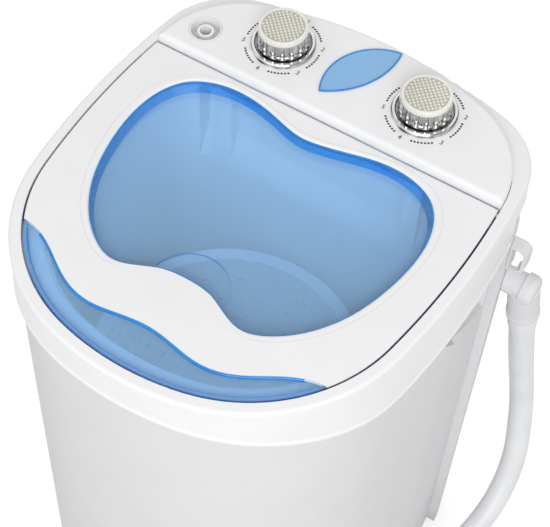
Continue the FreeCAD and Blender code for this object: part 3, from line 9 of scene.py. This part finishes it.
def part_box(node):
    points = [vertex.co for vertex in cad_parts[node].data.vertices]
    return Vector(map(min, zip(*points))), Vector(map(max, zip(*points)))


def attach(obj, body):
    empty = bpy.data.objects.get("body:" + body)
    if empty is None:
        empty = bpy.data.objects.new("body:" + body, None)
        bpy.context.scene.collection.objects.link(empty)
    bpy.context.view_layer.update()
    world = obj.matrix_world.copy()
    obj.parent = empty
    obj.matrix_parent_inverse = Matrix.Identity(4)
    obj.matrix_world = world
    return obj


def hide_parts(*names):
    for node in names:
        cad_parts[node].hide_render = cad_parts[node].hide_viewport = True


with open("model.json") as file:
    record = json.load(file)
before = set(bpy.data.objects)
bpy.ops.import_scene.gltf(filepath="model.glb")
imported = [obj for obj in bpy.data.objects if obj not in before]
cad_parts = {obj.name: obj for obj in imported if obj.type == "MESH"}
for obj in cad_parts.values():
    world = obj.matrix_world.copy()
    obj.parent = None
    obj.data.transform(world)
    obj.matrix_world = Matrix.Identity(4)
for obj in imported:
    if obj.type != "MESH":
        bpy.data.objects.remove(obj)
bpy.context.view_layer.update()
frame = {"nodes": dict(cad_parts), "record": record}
nodes = frame["nodes"]

# Mini washing machine in metres, in the frame of its solids: +Z up, front towards -Y
MM = 0.001

# Camera at the photograph's angle, in degrees; its focus is in pixels of the picture, 550 by 527
PHOTO_WIDTH = 550
PHOTO_FOCUS = 1427.7
CAMERA_PLACE = Vector((0.3570, -0.5997, 1.3996))
CAMERA_AZIMUTH = 29.57
CAMERA_ELEVATION = 53.05
CAMERA_ROLL = 3.69
SENSOR_WIDTH = 36.0

# Light: an even sky, one soft lamp, and a floor that shows white
SKY_LIGHT = 0.72
LAMP_PLACE = Vector((1.05, -1.85, 1.9))
LAMP_TARGET = Vector((0, 0, 0.4))
LAMP_SIZE = 1.6
LAMP_POWER = 32
FLOOR_REACH = 6
FLOOR_COLOUR = (0.55, 0.55, 0.56)
FLOOR_ROUGHNESS = 0.8
FLOOR_GLOW = 0.6

# Middle of the range of a value from 0 to 1, which a colour or a gloss is spread over
MIDDLE_LOW = 0.3
MIDDLE_HIGH = 0.7

# Surface noise, with its scales per metre
NOISE_DETAIL = 3.0
CLOUD_SCALE = 30
GLOSS_SCALE = 120
CLEAR_SCALE = 40
GRAIN_SCALE = 900
GRAIN_DEPTH = 0.2 * MM

# Room that the chrome mirrors, as a painted reflection: noise over the directions that its faces look in
ROOM_SCALE = 2.2
ROOM_DETAIL = 1.0

# Refractive index of the clear plastic
CLEAR_INDEX = 1.45

# Meshes: corners closer than the weld gap are one, heights closer than the level gap are the same
WELD_GAP = 0.002 * MM
LEVEL_GAP = 0.01 * MM
SMOOTH_ANGLE = math.radians(32)
SHARP_ANGLE = math.radians(40)
LATHE_STEPS = 96

# Tilted panel: its hinge line and tilt, and the knobs' places, measured along it
PANEL_ORIGIN = Vector((0, 92, 566.7)) * MM
PANEL_TILT = math.radians(3.6)
KNOB_X = 66.5 * MM
KNOB_Y = 45 * MM
KNOB_SIDES = {"wash": -1, "spin": 1}

# Knob cap: a rimmed disc whose sunk field holds a grid of blunt pyramids
CAP_RADIUS = 20.5 * MM
CAP_BOTTOM = 17.8 * MM
CAP_HEIGHT = 5 * MM
CAP_TOP = CAP_BOTTOM + CAP_HEIGHT
CAP_EDGE = 1.2 * MM
CAP_EDGE_STEPS = 4
CAP_BORDER = 2.6 * MM
CAP_SINK = 0.9 * MM
CAP_LIP = 0.3 * MM
CAP_LIP_DROP = 0.2 * MM
CAP_DRAFT = 0.2 * MM
FIELD_RADIUS = CAP_RADIUS - CAP_BORDER
FIELD_FLOOR = CAP_TOP - CAP_SINK
FIELD_DEPTH = 0.2 * MM
FIELD_RISE = 0.05 * MM
STUD_PITCH = 3.05 * MM
STUD_HEIGHT = 1.2 * MM
STUD_FOOT = 1.36 * MM
STUD_TOP = 0.55 * MM
STUD_SINK = 0.05 * MM
STUD_CORNERS = ((1, 0), (0, 1), (-1, 0), (0, -1))

# Leaf-shaped lens between the knobs, on the panel
LENS_TIP_A = Vector((-15.5, 18.5)) * MM
LENS_TIP_B = Vector((21.0, 88.5)) * MM
LENS_BULGE_A = 21.0 * MM
LENS_BULGE_B = 13.0 * MM
LENS_PROUD = 0.8 * MM
LENS_SEAM = 0.7 * MM
LENS_STEPS = 24

# Dial printed on the panel round each knob; the gap beside a number is counted in dots
DIAL_RADIUS = 31.5 * MM
DIAL_DOT = 0.95 * MM
DIAL_DOTS = 72
DOT_SIDES = 12
DIAL_MARKS = 6
DIAL_START = math.radians(143)
DIAL_STEP = math.radians(-60)
DIAL_GAP = 2.5
DIGIT_SIZE = 6.2 * MM
DIGIT_RADIUS = 33 * MM
PRINT_THICKNESS = 0.12 * MM

# Drain hose from the outlet at the bottom to the elbow at the top
HOSE_POINTS = [Vector(point) * MM for point in (
    (188, -44, 44), (188, 16, 44), (219, 98, 66), (224, 154, 117), (206, 183, 186),
    (195, 173, 263), (192, 152, 331), (188, 142, 385))]
HOSE_DIAMETER = 24 * MM
HOSE_ROUNDNESS = 8
HOSE_STEPS = 16

# Seams of the lid's clear sheet: thin lines at the foot of the white frame and along the sheet's own edge,
# painted a deeper blue than the sheet as shade for the plastic seen edge-on through its thickness
SEAM_RADIUS = 1.0 * MM
WAVE_RADIUS = 1.6 * MM
EDGE_RADIUS = 1.3 * MM
SEAM_ROUNDNESS = 3
SEAM_LIFT = 0.5 * MM
SEAM_REAR = -123 * MM
EDGE_REAR = 80 * MM
WINDOW_REACH = 140 * MM

# Bonding layer under the lid's frame: its thickness, and its depth below the frame
BACKING_DROP = 0.1 * MM


def new_material(name):
    """A node material, with its tree and its Principled shader."""
    material = bpy.data.materials.new(name)
    material.use_nodes = True
    return material, material.node_tree, material.node_tree.nodes["Principled BSDF"]


def surface_noise(tree, scale):
    """Noise in the piece's own metres."""
    place = tree.nodes.new("ShaderNodeTexCoord")
    noise = tree.nodes.new("ShaderNodeTexNoise")
    noise.inputs["Scale"].default_value = scale
    noise.inputs["Detail"].default_value = NOISE_DETAIL
    tree.links.new(place.outputs["Object"], noise.inputs["Vector"])
    return noise.outputs["Fac"]


def own_normal(tree, axis):
    """How squarely a face looks along one axis of its piece, from 0 to 1."""
    surface = tree.nodes.new("ShaderNodeTexCoord")
    parts = tree.nodes.new("ShaderNodeSeparateXYZ")
    tree.links.new(surface.outputs["Normal"], parts.inputs["Vector"])
    size = tree.nodes.new("ShaderNodeMath")
    size.operation = "ABSOLUTE"
    tree.links.new(parts.outputs[axis], size.inputs[0])
    return size.outputs["Value"]


def colour_by(tree, shader, value, low, high):
    """Base colour that goes from low to high as a value rises."""
    ramp = tree.nodes.new("ShaderNodeValToRGB")
    start, end = ramp.color_ramp.elements
    start.position = MIDDLE_LOW
    start.color = (*low, 1)
    end.position = MIDDLE_HIGH
    end.color = (*high, 1)
    tree.links.new(value, ramp.inputs["Fac"])
    tree.links.new(ramp.outputs["Color"], shader.inputs["Base Color"])


def uneven_gloss(tree, shader, scale, rough):
    """Roughness that wanders between two values."""
    ranged = tree.nodes.new("ShaderNodeMapRange")
    ranged.inputs["From Min"].default_value = MIDDLE_LOW
    ranged.inputs["From Max"].default_value = MIDDLE_HIGH
    ranged.inputs["To Min"].default_value = rough[0]
    ranged.inputs["To Max"].default_value = rough[1]
    tree.links.new(surface_noise(tree, scale), ranged.inputs["Value"])
    tree.links.new(ranged.outputs["Result"], shader.inputs["Roughness"])


def grain_bump(tree, shader, strength):
    """Fine moulded grain as bump."""
    bump = tree.nodes.new("ShaderNodeBump")
    bump.inputs["Strength"].default_value = strength
    bump.inputs["Distance"].default_value = GRAIN_DEPTH
    tree.links.new(surface_noise(tree, GRAIN_SCALE), bump.inputs["Height"])
    tree.links.new(bump.outputs["Normal"], shader.inputs["Normal"])


def solid_material(name, dark, light, rough, metal=0.0, bump=0.04, shine=0.5):
    """Opaque material: clouded colour, uneven gloss and a fine grain."""
    material, tree, shader = new_material(name)
    shader.inputs["Metallic"].default_value = metal
    shader.inputs["Specular IOR Level"].default_value = shine
    colour_by(tree, shader, surface_noise(tree, CLOUD_SCALE), dark, light)
    uneven_gloss(tree, shader, GLOSS_SCALE, rough)
    grain_bump(tree, shader, bump)
    return material


def tub_material(name, side, light, rough):
    """Smooth tub plastic with painted shade: the walls that look sideways are painted greyer in the side
    colour, as if they stood in shadow.
    """
    material, tree, shader = new_material(name)
    # Painted shade: colour goes from the light white to the greyer side colour as a face looks sideways
    colour_by(tree, shader, own_normal(tree, "X"), light, side)
    uneven_gloss(tree, shader, GLOSS_SCALE, rough)
    return material


def chrome_material(name, dark, light, rough):
    """Bright plating with a painted reflection: its colour is painted light and dark by the way a face
    looks, as if a room were mirrored in it.
    """
    material, tree, shader = new_material(name)
    shader.inputs["Metallic"].default_value = 1.0
    surface = tree.nodes.new("ShaderNodeNewGeometry")
    room = tree.nodes.new("ShaderNodeTexNoise")
    room.inputs["Scale"].default_value = ROOM_SCALE
    room.inputs["Detail"].default_value = ROOM_DETAIL
    tree.links.new(surface.outputs["Normal"], room.inputs["Vector"])
    colour_by(tree, shader, room.outputs["Fac"], dark, light)
    uneven_gloss(tree, shader, GLOSS_SCALE, rough)
    return material


def clear_material(name, colour, edge, shadow, rough, clear):
    """Tinted clear plastic that lets light through; its upright walls are painted a deeper tint, as shade
    for the longer way that light takes through the plastic there.
    """
    material, tree, shader = new_material(name)
    # Painted shade: the deeper tint where a face stands upright, the own tint where it lies flat
    colour_by(tree, shader, own_normal(tree, "Z"), edge, colour)
    uneven_gloss(tree, shader, CLEAR_SCALE, rough)
    shader.inputs["Transmission Weight"].default_value = clear
    shader.inputs["IOR"].default_value = CLEAR_INDEX
    passing = tree.nodes.new("ShaderNodeBsdfTransparent")
    passing.inputs["Color"].default_value = (*shadow, 1)
    ray = tree.nodes.new("ShaderNodeLightPath")
    mix = tree.nodes.new("ShaderNodeMixShader")
    tree.links.new(ray.outputs["Is Shadow Ray"], mix.inputs["Fac"])
    tree.links.new(shader.outputs["BSDF"], mix.inputs[1])
    tree.links.new(passing.outputs["BSDF"], mix.inputs[2])
    tree.links.new(mix.outputs["Shader"], tree.nodes["Material Output"].inputs["Surface"])
    return material


def make_materials():
    """One finish for each material slot of the record."""
    return {
        "white_plastic": solid_material(
            "gloss_white", (0.86, 0.86, 0.87), (0.88, 0.88, 0.89), (0.33, 0.345), bump=0.004, shine=0.2),
        # Body: its white is set darker than the gloss white, as painted shade for its upright sides, which
        # get less light than the tops
        "body_plastic": solid_material(
            "body_white_painted_shade", (0.74, 0.74, 0.75), (0.76, 0.76, 0.77), (0.44, 0.52), bump=0.01, shine=0.05),
        # Clear blue: its own tint, the deeper tint painted as shade on upright walls, the tint of light
        # passing through, its roughness and how clear it is
        "blue_clear": clear_material(
            "blue_clear", (0.46, 0.73, 1.0), (0.08, 0.40, 0.92), (0.92, 0.96, 1.0), (0.015, 0.04), 0.74),
        # Tub: the first colour is painted shade on its sideways walls, the second is its own white
        "tub_plastic": tub_material(
            "tub_white_painted_shade", (0.74, 0.79, 0.86), (0.95, 0.96, 0.97), (0.3, 0.4)),
        "basket_plastic": solid_material(
            "basket_white", (0.92, 0.94, 0.96), (0.95, 0.96, 0.98), (0.2, 0.3)),
        # Chrome: the dark and light colours of its painted reflection
        "knob_chrome": chrome_material(
            "knob_chrome", (0.10, 0.10, 0.10), (0.97, 0.97, 0.96), (0.08, 0.14)),
        "knob_ivory": solid_material(
            "knob_ivory", (0.78, 0.77, 0.70), (0.86, 0.85, 0.79), (0.2, 0.3)),
        "hose_plastic": solid_material(
            "hose_grey", (0.74, 0.75, 0.76), (0.79, 0.80, 0.81), (0.3, 0.42)),
        "grey_plastic": solid_material(
            "dark_grey", (0.11, 0.11, 0.12), (0.14, 0.14, 0.15), (0.4, 0.55)),
        "steel": solid_material(
            "zinc_steel", (0.5, 0.5, 0.51), (0.62, 0.62, 0.64), (0.2, 0.4), metal=1.0),
        "bronze": solid_material(
            "bronze", (0.5, 0.33, 0.16), (0.62, 0.42, 0.22), (0.3, 0.5), metal=1.0),
        "rubber": solid_material(
            "black_rubber", (0.02, 0.02, 0.02), (0.035, 0.035, 0.035), (0.6, 0.8)),
        "motor_metal": solid_material(
            "motor_metal", (0.38, 0.39, 0.4), (0.48, 0.49, 0.5), (0.35, 0.55), metal=1.0),
    }


def make_finishes():
    """Finishes of single pieces that differ from the rest of their slot."""
    return {
        # Lens: like the clear blue, with its upright walls painted a deeper tint as shade
        "lens": clear_material(
            "lens_blue", (0.27, 0.53, 0.83), (0.05, 0.25, 0.62), (0.8, 0.9, 1.0), (0.05, 0.09), 0.12),
        # Seam: deep blue painted as shade where the clear plastic is seen edge-on
        "seam": solid_material(
            "seam_blue_painted_shade", (0.012, 0.21, 0.60), (0.018, 0.26, 0.68), (0.12, 0.2)),
        # Edge: near-black navy for the sheet's sides, partly the sheet's own blue edge and partly painted
        # shadow of the gap round the lid
        "edge": solid_material(
            "edge_navy_painted_shadow", (0.004, 0.012, 0.06), (0.006, 0.016, 0.08), (0.3, 0.4)),
        "field": solid_material(
            "cap_field", (0.44, 0.43, 0.36), (0.52, 0.51, 0.44), (0.4, 0.5)),
    }


def smooth_group():
    """Modifier group that shades smooth every edge flatter than SMOOTH_ANGLE."""
    group = bpy.data.node_groups.new("smooth_by_angle", "GeometryNodeTree")
    group.interface.new_socket("Geometry", in_out="INPUT", socket_type="NodeSocketGeometry")
    group.interface.new_socket("Geometry", in_out="OUTPUT", socket_type="NodeSocketGeometry")
    source = group.nodes.new("NodeGroupInput")
    result = group.nodes.new("NodeGroupOutput")
    faces = group.nodes.new("GeometryNodeSetShadeSmooth")
    edges = group.nodes.new("GeometryNodeSetShadeSmooth")
    edges.domain = "EDGE"
    angle = group.nodes.new("GeometryNodeInputMeshEdgeAngle")
    compare = group.nodes.new("FunctionNodeCompare")
    compare.operation = "LESS_THAN"
    compare.inputs["B"].default_value = SMOOTH_ANGLE
    group.links.new(angle.outputs["Unsigned Angle"], compare.inputs["A"])
    group.links.new(source.outputs["Geometry"], faces.inputs["Geometry"])
    group.links.new(faces.outputs["Geometry"], edges.inputs["Geometry"])
    group.links.new(compare.outputs["Result"], edges.inputs["Shade Smooth"])
    group.links.new(edges.outputs["Geometry"], result.inputs["Geometry"])
    return group


def finish_mesh(obj, group):
    """Joins the split borders of a piece's faces and shades it smooth by angle."""
    weld = obj.modifiers.new("weld", "WELD")
    weld.merge_threshold = WELD_GAP
    smooth = obj.modifiers.new("smooth", "NODES")
    smooth.node_group = group
    even = obj.modifiers.new("even", "WEIGHTED_NORMAL")
    even.keep_sharp = True


def dress_nodes(materials, group):
    """Gives each node the finish of its slot."""
    for part in frame["record"]["subparts"]:
        obj = nodes[part["node"]]
        obj.data.materials.clear()
        obj.data.materials.append(materials[part["material_slot"]])
        if "custom_normal" in obj.data.attributes:
            obj.data.attributes.remove(obj.data.attributes["custom_normal"])
        finish_mesh(obj, group)


def mesh_data(name, mesh):
    """Stores a finished mesh under a name."""
    data = bpy.data.meshes.new(name)
    mesh.to_mesh(data)
    mesh.free()
    return data


def new_piece(name, mesh_or_curve, material, body):
    """A new object that rides on a body and takes the finish it is given."""
    obj = bpy.data.objects.new(name, mesh_or_curve)
    bpy.context.scene.collection.objects.link(obj)
    obj.data.materials.append(material)
    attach(obj, body)
    return obj


def panel_matrix(x, y, z=0.0):
    """Place on the tilted panel, with its Z along the panel's normal."""
    panel = Matrix.Translation(PANEL_ORIGIN) @ Matrix.Rotation(PANEL_TILT, 4, "X")
    return panel @ Matrix.Translation((x, y, z))


def make_hose(material):
    """The drain hose: one smooth spline along the route from the outlet up to the elbow; the hose part is
    hidden.
    """
    curve = bpy.data.curves.new("drain_hose_line", "CURVE")
    curve.dimensions = "3D"
    curve.bevel_depth = HOSE_DIAMETER / 2
    curve.bevel_resolution = HOSE_ROUNDNESS
    curve.resolution_u = HOSE_STEPS
    curve.use_fill_caps = True
    line = curve.splines.new("NURBS")
    line.points.add(len(HOSE_POINTS) - 1)
    for point, place in zip(line.points, HOSE_POINTS):
        point.co = (*place, 1)
    line.order_u = 3
    line.use_endpoint_u = True
    hose = new_piece("drain_hose_tube", curve, material, "cabinet")
    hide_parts("drain_hose")


def is_level(corners, height):
    """Whether all corners lie at one height."""
    return all(abs(corner.co.z - height) < LEVEL_GAP for corner in corners)


def is_sharp(edge):
    """Whether an edge is a fold between two faces."""
    return len(edge.link_faces) == 2 and edge.calc_face_angle() > SHARP_ANGLE


def extend_chain(chain, end, left):
    """Moves edges that are left to one end of a chain of corners: -1 is its last corner, 0 its first."""
    while True:
        onward = next((edge for edge in chain[end].link_edges if edge in left), None)
        if onward is None:
            return
        left.remove(onward)
        chain.insert(len(chain) if end else 0, onward.other_vert(chain[end]))


def sharp_chains(obj, height):
    """Chains of a solid's sharp edges at one height, as points; a closed chain starts at its rear."""
    mesh = bmesh.new()
    mesh.from_mesh(obj.data)
    bmesh.ops.remove_doubles(mesh, verts=mesh.verts, dist=WELD_GAP)
    left = [edge for edge in mesh.edges if is_sharp(edge) and is_level(edge.verts, height)]
    left.sort(key=lambda edge: sum(corner.co.y for corner in edge.verts))
    chains = []
    while left:
        chain = list(left.pop().verts)
        extend_chain(chain, -1, left)
        extend_chain(chain, 0, left)
        chains.append([corner.co.copy() for corner in chain])
    mesh.free()
    return chains


def right_end(chain):
    """How far a chain reaches to the right."""
    return max(point.x for point in chain)


def make_seam(name, points, radius, material, body):
    """A thin line of colour along the edge of a clear piece."""
    curve = bpy.data.curves.new(name + "_line", "CURVE")
    curve.dimensions = "3D"
    curve.bevel_depth = radius
    curve.bevel_resolution = SEAM_ROUNDNESS
    closed = (points[0] - points[-1]).length < LEVEL_GAP
    if closed:
        points = points[:-1]
    line = curve.splines.new("POLY")
    line.points.add(len(points) - 1)
    for point, place in zip(line.points, points):
        point.co = (*place, 1)
    line.use_cyclic_u = closed
    curve.use_fill_caps = not closed
    new_piece(name, curve, material, body)


def make_lid_seams(material, edge):
    """Seams along the frame's wavy front, round the sheet's front and sides, and round the window: painted
    deep-blue shade lines, with painted navy gap shadow along the sides.
    """
    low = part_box("lid_frame")[0].z
    lift = Vector((0, 0, SEAM_LIFT))
    frame_chains = sharp_chains(nodes["lid_frame"], low)
    sheet_chains = sharp_chains(nodes["lid_window"], low)
    wave = max(frame_chains, key=right_end)
    rim = max(sheet_chains, key=right_end)
    window = max((chain for chain in frame_chains if right_end(chain) < WINDOW_REACH), key=len)
    for name, chain, radius in (("wave_seam", wave, WAVE_RADIUS), ("rim_seam", rim, SEAM_RADIUS)):
        front = [point + lift for point in chain if point.y < SEAM_REAR]
        make_seam(name, front, radius, material, "lid")
    # The side lines are partly the sheet's blue edge and partly painted shadow of the gap beside the lid
    for name, side in (("left_edge", -1), ("right_edge", 1)):
        flank = [point + lift for point in rim if SEAM_REAR < point.y < EDGE_REAR and point.x * side > 0]
        flank.sort(key=lambda point: point.y)
        make_seam(name, flank, EDGE_RADIUS, edge, "lid")
    make_seam("window_seam", [point + lift for point in window], SEAM_RADIUS, material, "lid")


def make_backing(material):
    """White bonding layer of the lid's frame, just under the top of the clear sheet."""
    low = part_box("lid_frame")[0].z
    drop = Vector((0, 0, -BACKING_DROP))
    mesh = bmesh.new()
    mesh.from_mesh(nodes["lid_frame"].data)
    bmesh.ops.remove_doubles(mesh, verts=mesh.verts, dist=WELD_GAP)
    others = [face for face in mesh.faces if not is_level(face.verts, low)]
    bmesh.ops.delete(mesh, geom=others, context="FACES")
    bmesh.ops.translate(mesh, vec=drop, verts=mesh.verts)
    grown = bmesh.ops.extrude_face_region(mesh, geom=mesh.faces[:], use_keep_orig=True)
    lower = [item for item in grown["geom"] if isinstance(item, bmesh.types.BMVert)]
    bmesh.ops.translate(mesh, vec=drop, verts=lower)
    bmesh.ops.recalc_face_normals(mesh, faces=mesh.faces)
    new_piece("frame_backing", mesh_data("frame_backing_mesh", mesh), material, "lid")


def lens_side(bulge):
    """One side of the leaf-shaped lens, an arc on the panel that bulges from the line between its tips."""
    along = LENS_TIP_B - LENS_TIP_A
    middle = (LENS_TIP_A + LENS_TIP_B) / 2
    across = Vector((-along.y, along.x)).normalized() * (1 if bulge > 0 else -1)
    depth = abs(bulge)
    radius = (along.length_squared / 4 + depth ** 2) / (2 * depth)
    centre = middle + across * (depth - radius)
    half = math.asin(along.length / 2 / radius)
    way = along.normalized()
    places = []
    for i in range(LENS_STEPS + 1):
        angle = half * (2 * i / LENS_STEPS - 1)
        places.append(centre + radius * (way * math.sin(angle) + across * math.cos(angle)))
    return places


def make_lens_seam(material):
    """Deep blue border of the lens, painted as shade for the lens seen edge-on through its thickness."""
    places = lens_side(LENS_BULGE_A) + lens_side(-LENS_BULGE_B)[::-1]
    points = [panel_matrix(place.x, place.y, LENS_PROUD).to_translation() for place in places]
    make_seam("lens_seam", points, LENS_SEAM, material, "cabinet")


def lathe(mesh, profile):
    """Turns a profile of (radius, height) points, from the axis to the axis, about Z."""
    turns = [2 * math.pi * i / LATHE_STEPS for i in range(LATHE_STEPS)]
    rings = []
    for radius, height in profile:
        if radius == 0:
            rings.append([mesh.verts.new((0, 0, height))])
            continue
        rings.append([mesh.verts.new((radius * math.cos(a), radius * math.sin(a), height)) for a in turns])
    for below, above in zip(rings, rings[1:]):
        for i in range(LATHE_STEPS):
            corners = [below[i % len(below)], below[(i + 1) % len(below)],
                       above[(i + 1) % len(above)], above[i % len(above)]]
            mesh.faces.new(list(dict.fromkeys(corners)))


def add_stud(mesh, x, y, base):
    """A blunt pyramid standing on its base, with its corners along X and Y."""
    foot = [mesh.verts.new((x + STUD_FOOT * c, y + STUD_FOOT * s, base)) for c, s in STUD_CORNERS]
    top = [mesh.verts.new((x + STUD_TOP * c, y + STUD_TOP * s, base + STUD_HEIGHT)) for c, s in STUD_CORNERS]
    mesh.faces.new(top)
    mesh.faces.new(foot[::-1])
    for i in range(len(STUD_CORNERS)):
        j = (i + 1) % len(STUD_CORNERS)
        mesh.faces.new((foot[i], foot[j], top[j], top[i]))


def cap_profile():
    """Half section of a knob cap: rounded edge, plain border and sunk field."""
    bevel = CAP_EDGE / 2
    profile = [(0, CAP_BOTTOM), (CAP_RADIUS - bevel, CAP_BOTTOM), (CAP_RADIUS, CAP_BOTTOM + bevel)]
    for i in range(CAP_EDGE_STEPS + 1):
        angle = math.pi / 2 * i / CAP_EDGE_STEPS
        radius = CAP_RADIUS - CAP_EDGE * (1 - math.cos(angle))
        profile.append((radius, CAP_TOP - CAP_EDGE * (1 - math.sin(angle))))
    profile.append((FIELD_RADIUS + CAP_LIP, CAP_TOP))
    profile.append((FIELD_RADIUS, CAP_TOP - CAP_LIP_DROP))
    profile.append((FIELD_RADIUS - CAP_DRAFT, FIELD_FLOOR))
    profile.append((0, FIELD_FLOOR))
    return profile


def make_cap(name, side, material, group):
    """Cap of a knob, with a field of blunt pyramids on the diagonals of a square grid."""
    mesh = bmesh.new()
    lathe(mesh, cap_profile())
    count = int(FIELD_RADIUS / STUD_PITCH)
    half = STUD_PITCH / math.sqrt(2)
    for i in range(-count, count + 1):
        for j in range(-count, count + 1):
            x = half * (i - j)
            y = half * (i + j)
            if math.hypot(x, y) + STUD_FOOT < FIELD_RADIUS:
                add_stud(mesh, x, y, FIELD_FLOOR - STUD_SINK)
    bmesh.ops.recalc_face_normals(mesh, faces=mesh.faces)
    data = mesh_data(name + "_cap_mesh", mesh)
    data.transform(panel_matrix(side * KNOB_X, KNOB_Y))
    cap = new_piece(name + "_grid_cap", data, material, name + "_knob")
    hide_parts(name + "_knob_cap")
    finish_mesh(cap, group)


def make_field(name, side, material):
    """Darker floor of the cap's grid."""
    mesh = bmesh.new()
    radius = FIELD_RADIUS - CAP_DRAFT
    low = FIELD_FLOOR - FIELD_DEPTH
    high = FIELD_FLOOR + FIELD_RISE
    lathe(mesh, [(0, low), (radius, low), (radius, high), (0, high)])
    bmesh.ops.recalc_face_normals(mesh, faces=mesh.faces)
    data = mesh_data(name + "_field_mesh", mesh)
    data.transform(panel_matrix(side * KNOB_X, KNOB_Y))
    new_piece(name + "_cap_field", data, material, name + "_knob")


def angle_between(one, other):
    """The smaller angle between two directions."""
    return abs((one - other + math.pi) % (2 * math.pi) - math.pi)


def make_dots(name, side, marks, material):
    """Ring of printed dots, left open beside each number."""
    mesh = bmesh.new()
    step = 2 * math.pi / DIAL_DOTS
    for i in range(DIAL_DOTS):
        angle = step * i
        if min(angle_between(angle, mark) for mark in marks) < DIAL_GAP * step:
            continue
        x = DIAL_RADIUS * math.cos(angle)
        y = DIAL_RADIUS * math.sin(angle)
        bmesh.ops.create_cone(mesh, cap_ends=True, segments=DOT_SIDES, radius1=DIAL_DOT, radius2=DIAL_DOT,
                              depth=PRINT_THICKNESS, matrix=Matrix.Translation((x, y, PRINT_THICKNESS / 2)))
    data = mesh_data(name + "_dial_mesh", mesh)
    data.transform(panel_matrix(side * KNOB_X, KNOB_Y))
    new_piece(name + "_dial_dots", data, material, "cabinet")


def make_digit(name, digit, x, y, material):
    """One printed number of a dial."""
    words = bpy.data.curves.new(name, "FONT")
    words.body = str(digit)
    words.size = DIGIT_SIZE
    words.align_x = "CENTER"
    words.align_y = "CENTER"
    words.extrude = PRINT_THICKNESS / 2
    text = bpy.data.objects.new(name + "_text", words)
    data = bpy.data.meshes.new_from_object(text)
    data.transform(panel_matrix(x, y, PRINT_THICKNESS / 2))
    bpy.data.objects.remove(text)
    new_piece(name, data, material, "cabinet")


def make_dial(name, side, material):
    """Dial of a knob: a ring of dots with plain numbers between them."""
    marks = [DIAL_START + DIAL_STEP * i for i in range(DIAL_MARKS)]
    make_dots(name, side, marks, material)
    for i, mark in enumerate(marks):
        x = side * KNOB_X + DIGIT_RADIUS * math.cos(mark)
        y = KNOB_Y + DIGIT_RADIUS * math.sin(mark)
        make_digit(f"{name}_digit_{i}", i, x, y, material)


def seen_rays(tree):
    """1 for what is seen straight on, in a mirror or through a clear piece, and 0 for light on a surface."""
    ray = tree.nodes.new("ShaderNodeLightPath")
    mirrored = tree.nodes.new("ShaderNodeMath")
    mirrored.operation = "MAXIMUM"
    tree.links.new(ray.outputs["Is Glossy Ray"], mirrored.inputs[0])
    tree.links.new(ray.outputs["Is Transmission Ray"], mirrored.inputs[1])
    seen = tree.nodes.new("ShaderNodeMath")
    seen.operation = "MAXIMUM"
    tree.links.new(ray.outputs["Is Camera Ray"], seen.inputs[0])
    tree.links.new(mirrored.outputs["Value"], seen.inputs[1])
    return seen.outputs["Value"]


def floor_material():
    """Pale floor that glows where it is seen and keeps a faint shadow."""
    material, tree, shader = new_material("pale_floor")
    shader.inputs["Base Color"].default_value = (*FLOOR_COLOUR, 1)
    shader.inputs["Roughness"].default_value = FLOOR_ROUGHNESS
    shader.inputs["Emission Color"].default_value = (1, 1, 1, 1)
    glow = tree.nodes.new("ShaderNodeMath")
    glow.operation = "MULTIPLY"
    glow.inputs[1].default_value = FLOOR_GLOW
    tree.links.new(seen_rays(tree), glow.inputs[0])
    tree.links.new(glow.outputs["Value"], shader.inputs["Emission Strength"])
    return material


def make_floor():
    """Wide flat floor under the machine."""
    mesh = bmesh.new()
    bmesh.ops.create_grid(mesh, x_segments=1, y_segments=1, size=FLOOR_REACH)
    floor = bpy.data.objects.new("floor", mesh_data("floor_mesh", mesh))
    bpy.context.scene.collection.objects.link(floor)
    floor.data.materials.append(floor_material())


def make_world():
    """Even pale light from all round, white where it is seen."""
    world = bpy.data.worlds.new("studio")
    world.use_nodes = True
    tree = world.node_tree
    background = tree.nodes["Background"]
    background.inputs["Color"].default_value = (1, 1, 1, 1)
    level = tree.nodes.new("ShaderNodeMapRange")
    level.inputs["To Min"].default_value = SKY_LIGHT
    tree.links.new(seen_rays(tree), level.inputs["Value"])
    tree.links.new(level.outputs["Result"], background.inputs["Strength"])
    bpy.context.scene.world = world


def make_lamp():
    """One soft square lamp from the front right."""
    lamp = bpy.data.lights.new("key", "AREA")
    lamp.shape = "SQUARE"
    lamp.size = LAMP_SIZE
    lamp.energy = LAMP_POWER
    obj = bpy.data.objects.new("key", lamp)
    bpy.context.scene.collection.objects.link(obj)
    obj.location = LAMP_PLACE
    obj.rotation_mode = "QUATERNION"
    obj.rotation_quaternion = (LAMP_TARGET - LAMP_PLACE).to_track_quat("-Z", "Y")


def make_camera():
    """The photograph's camera."""
    camera = bpy.data.cameras.new("camera")
    camera.sensor_width = SENSOR_WIDTH
    camera.lens = PHOTO_FOCUS / PHOTO_WIDTH * SENSOR_WIDTH
    obj = bpy.data.objects.new("camera", camera)
    bpy.context.scene.collection.objects.link(obj)
    azimuth = math.radians(CAMERA_AZIMUTH)
    tip = math.radians(90 - CAMERA_ELEVATION)
    turn = Matrix.Rotation(azimuth, 4, "Z") @ Matrix.Rotation(tip, 4, "X")
    roll = Matrix.Rotation(math.radians(CAMERA_ROLL), 4, "Z")
    obj.matrix_world = Matrix.Translation(CAMERA_PLACE) @ turn @ roll
    bpy.context.scene.camera = obj


materials = make_materials()
finishes = make_finishes()
smooth = smooth_group()
dress_nodes(materials, smooth)
nodes["leaf_lens"].data.materials[0] = finishes["lens"]
make_hose(materials["hose_plastic"])
make_lid_seams(finishes["seam"], finishes["edge"])
make_backing(materials["white_plastic"])
make_lens_seam(finishes["seam"])
for name, side in KNOB_SIDES.items():
    make_cap(name, side, materials["knob_ivory"], smooth)
    make_field(name, side, finishes["field"])
    make_dial(name, side, materials["rubber"])
make_floor()
make_world()
make_lamp()
make_camera()
bpy.context.scene.view_settings.view_transform = "Standard"
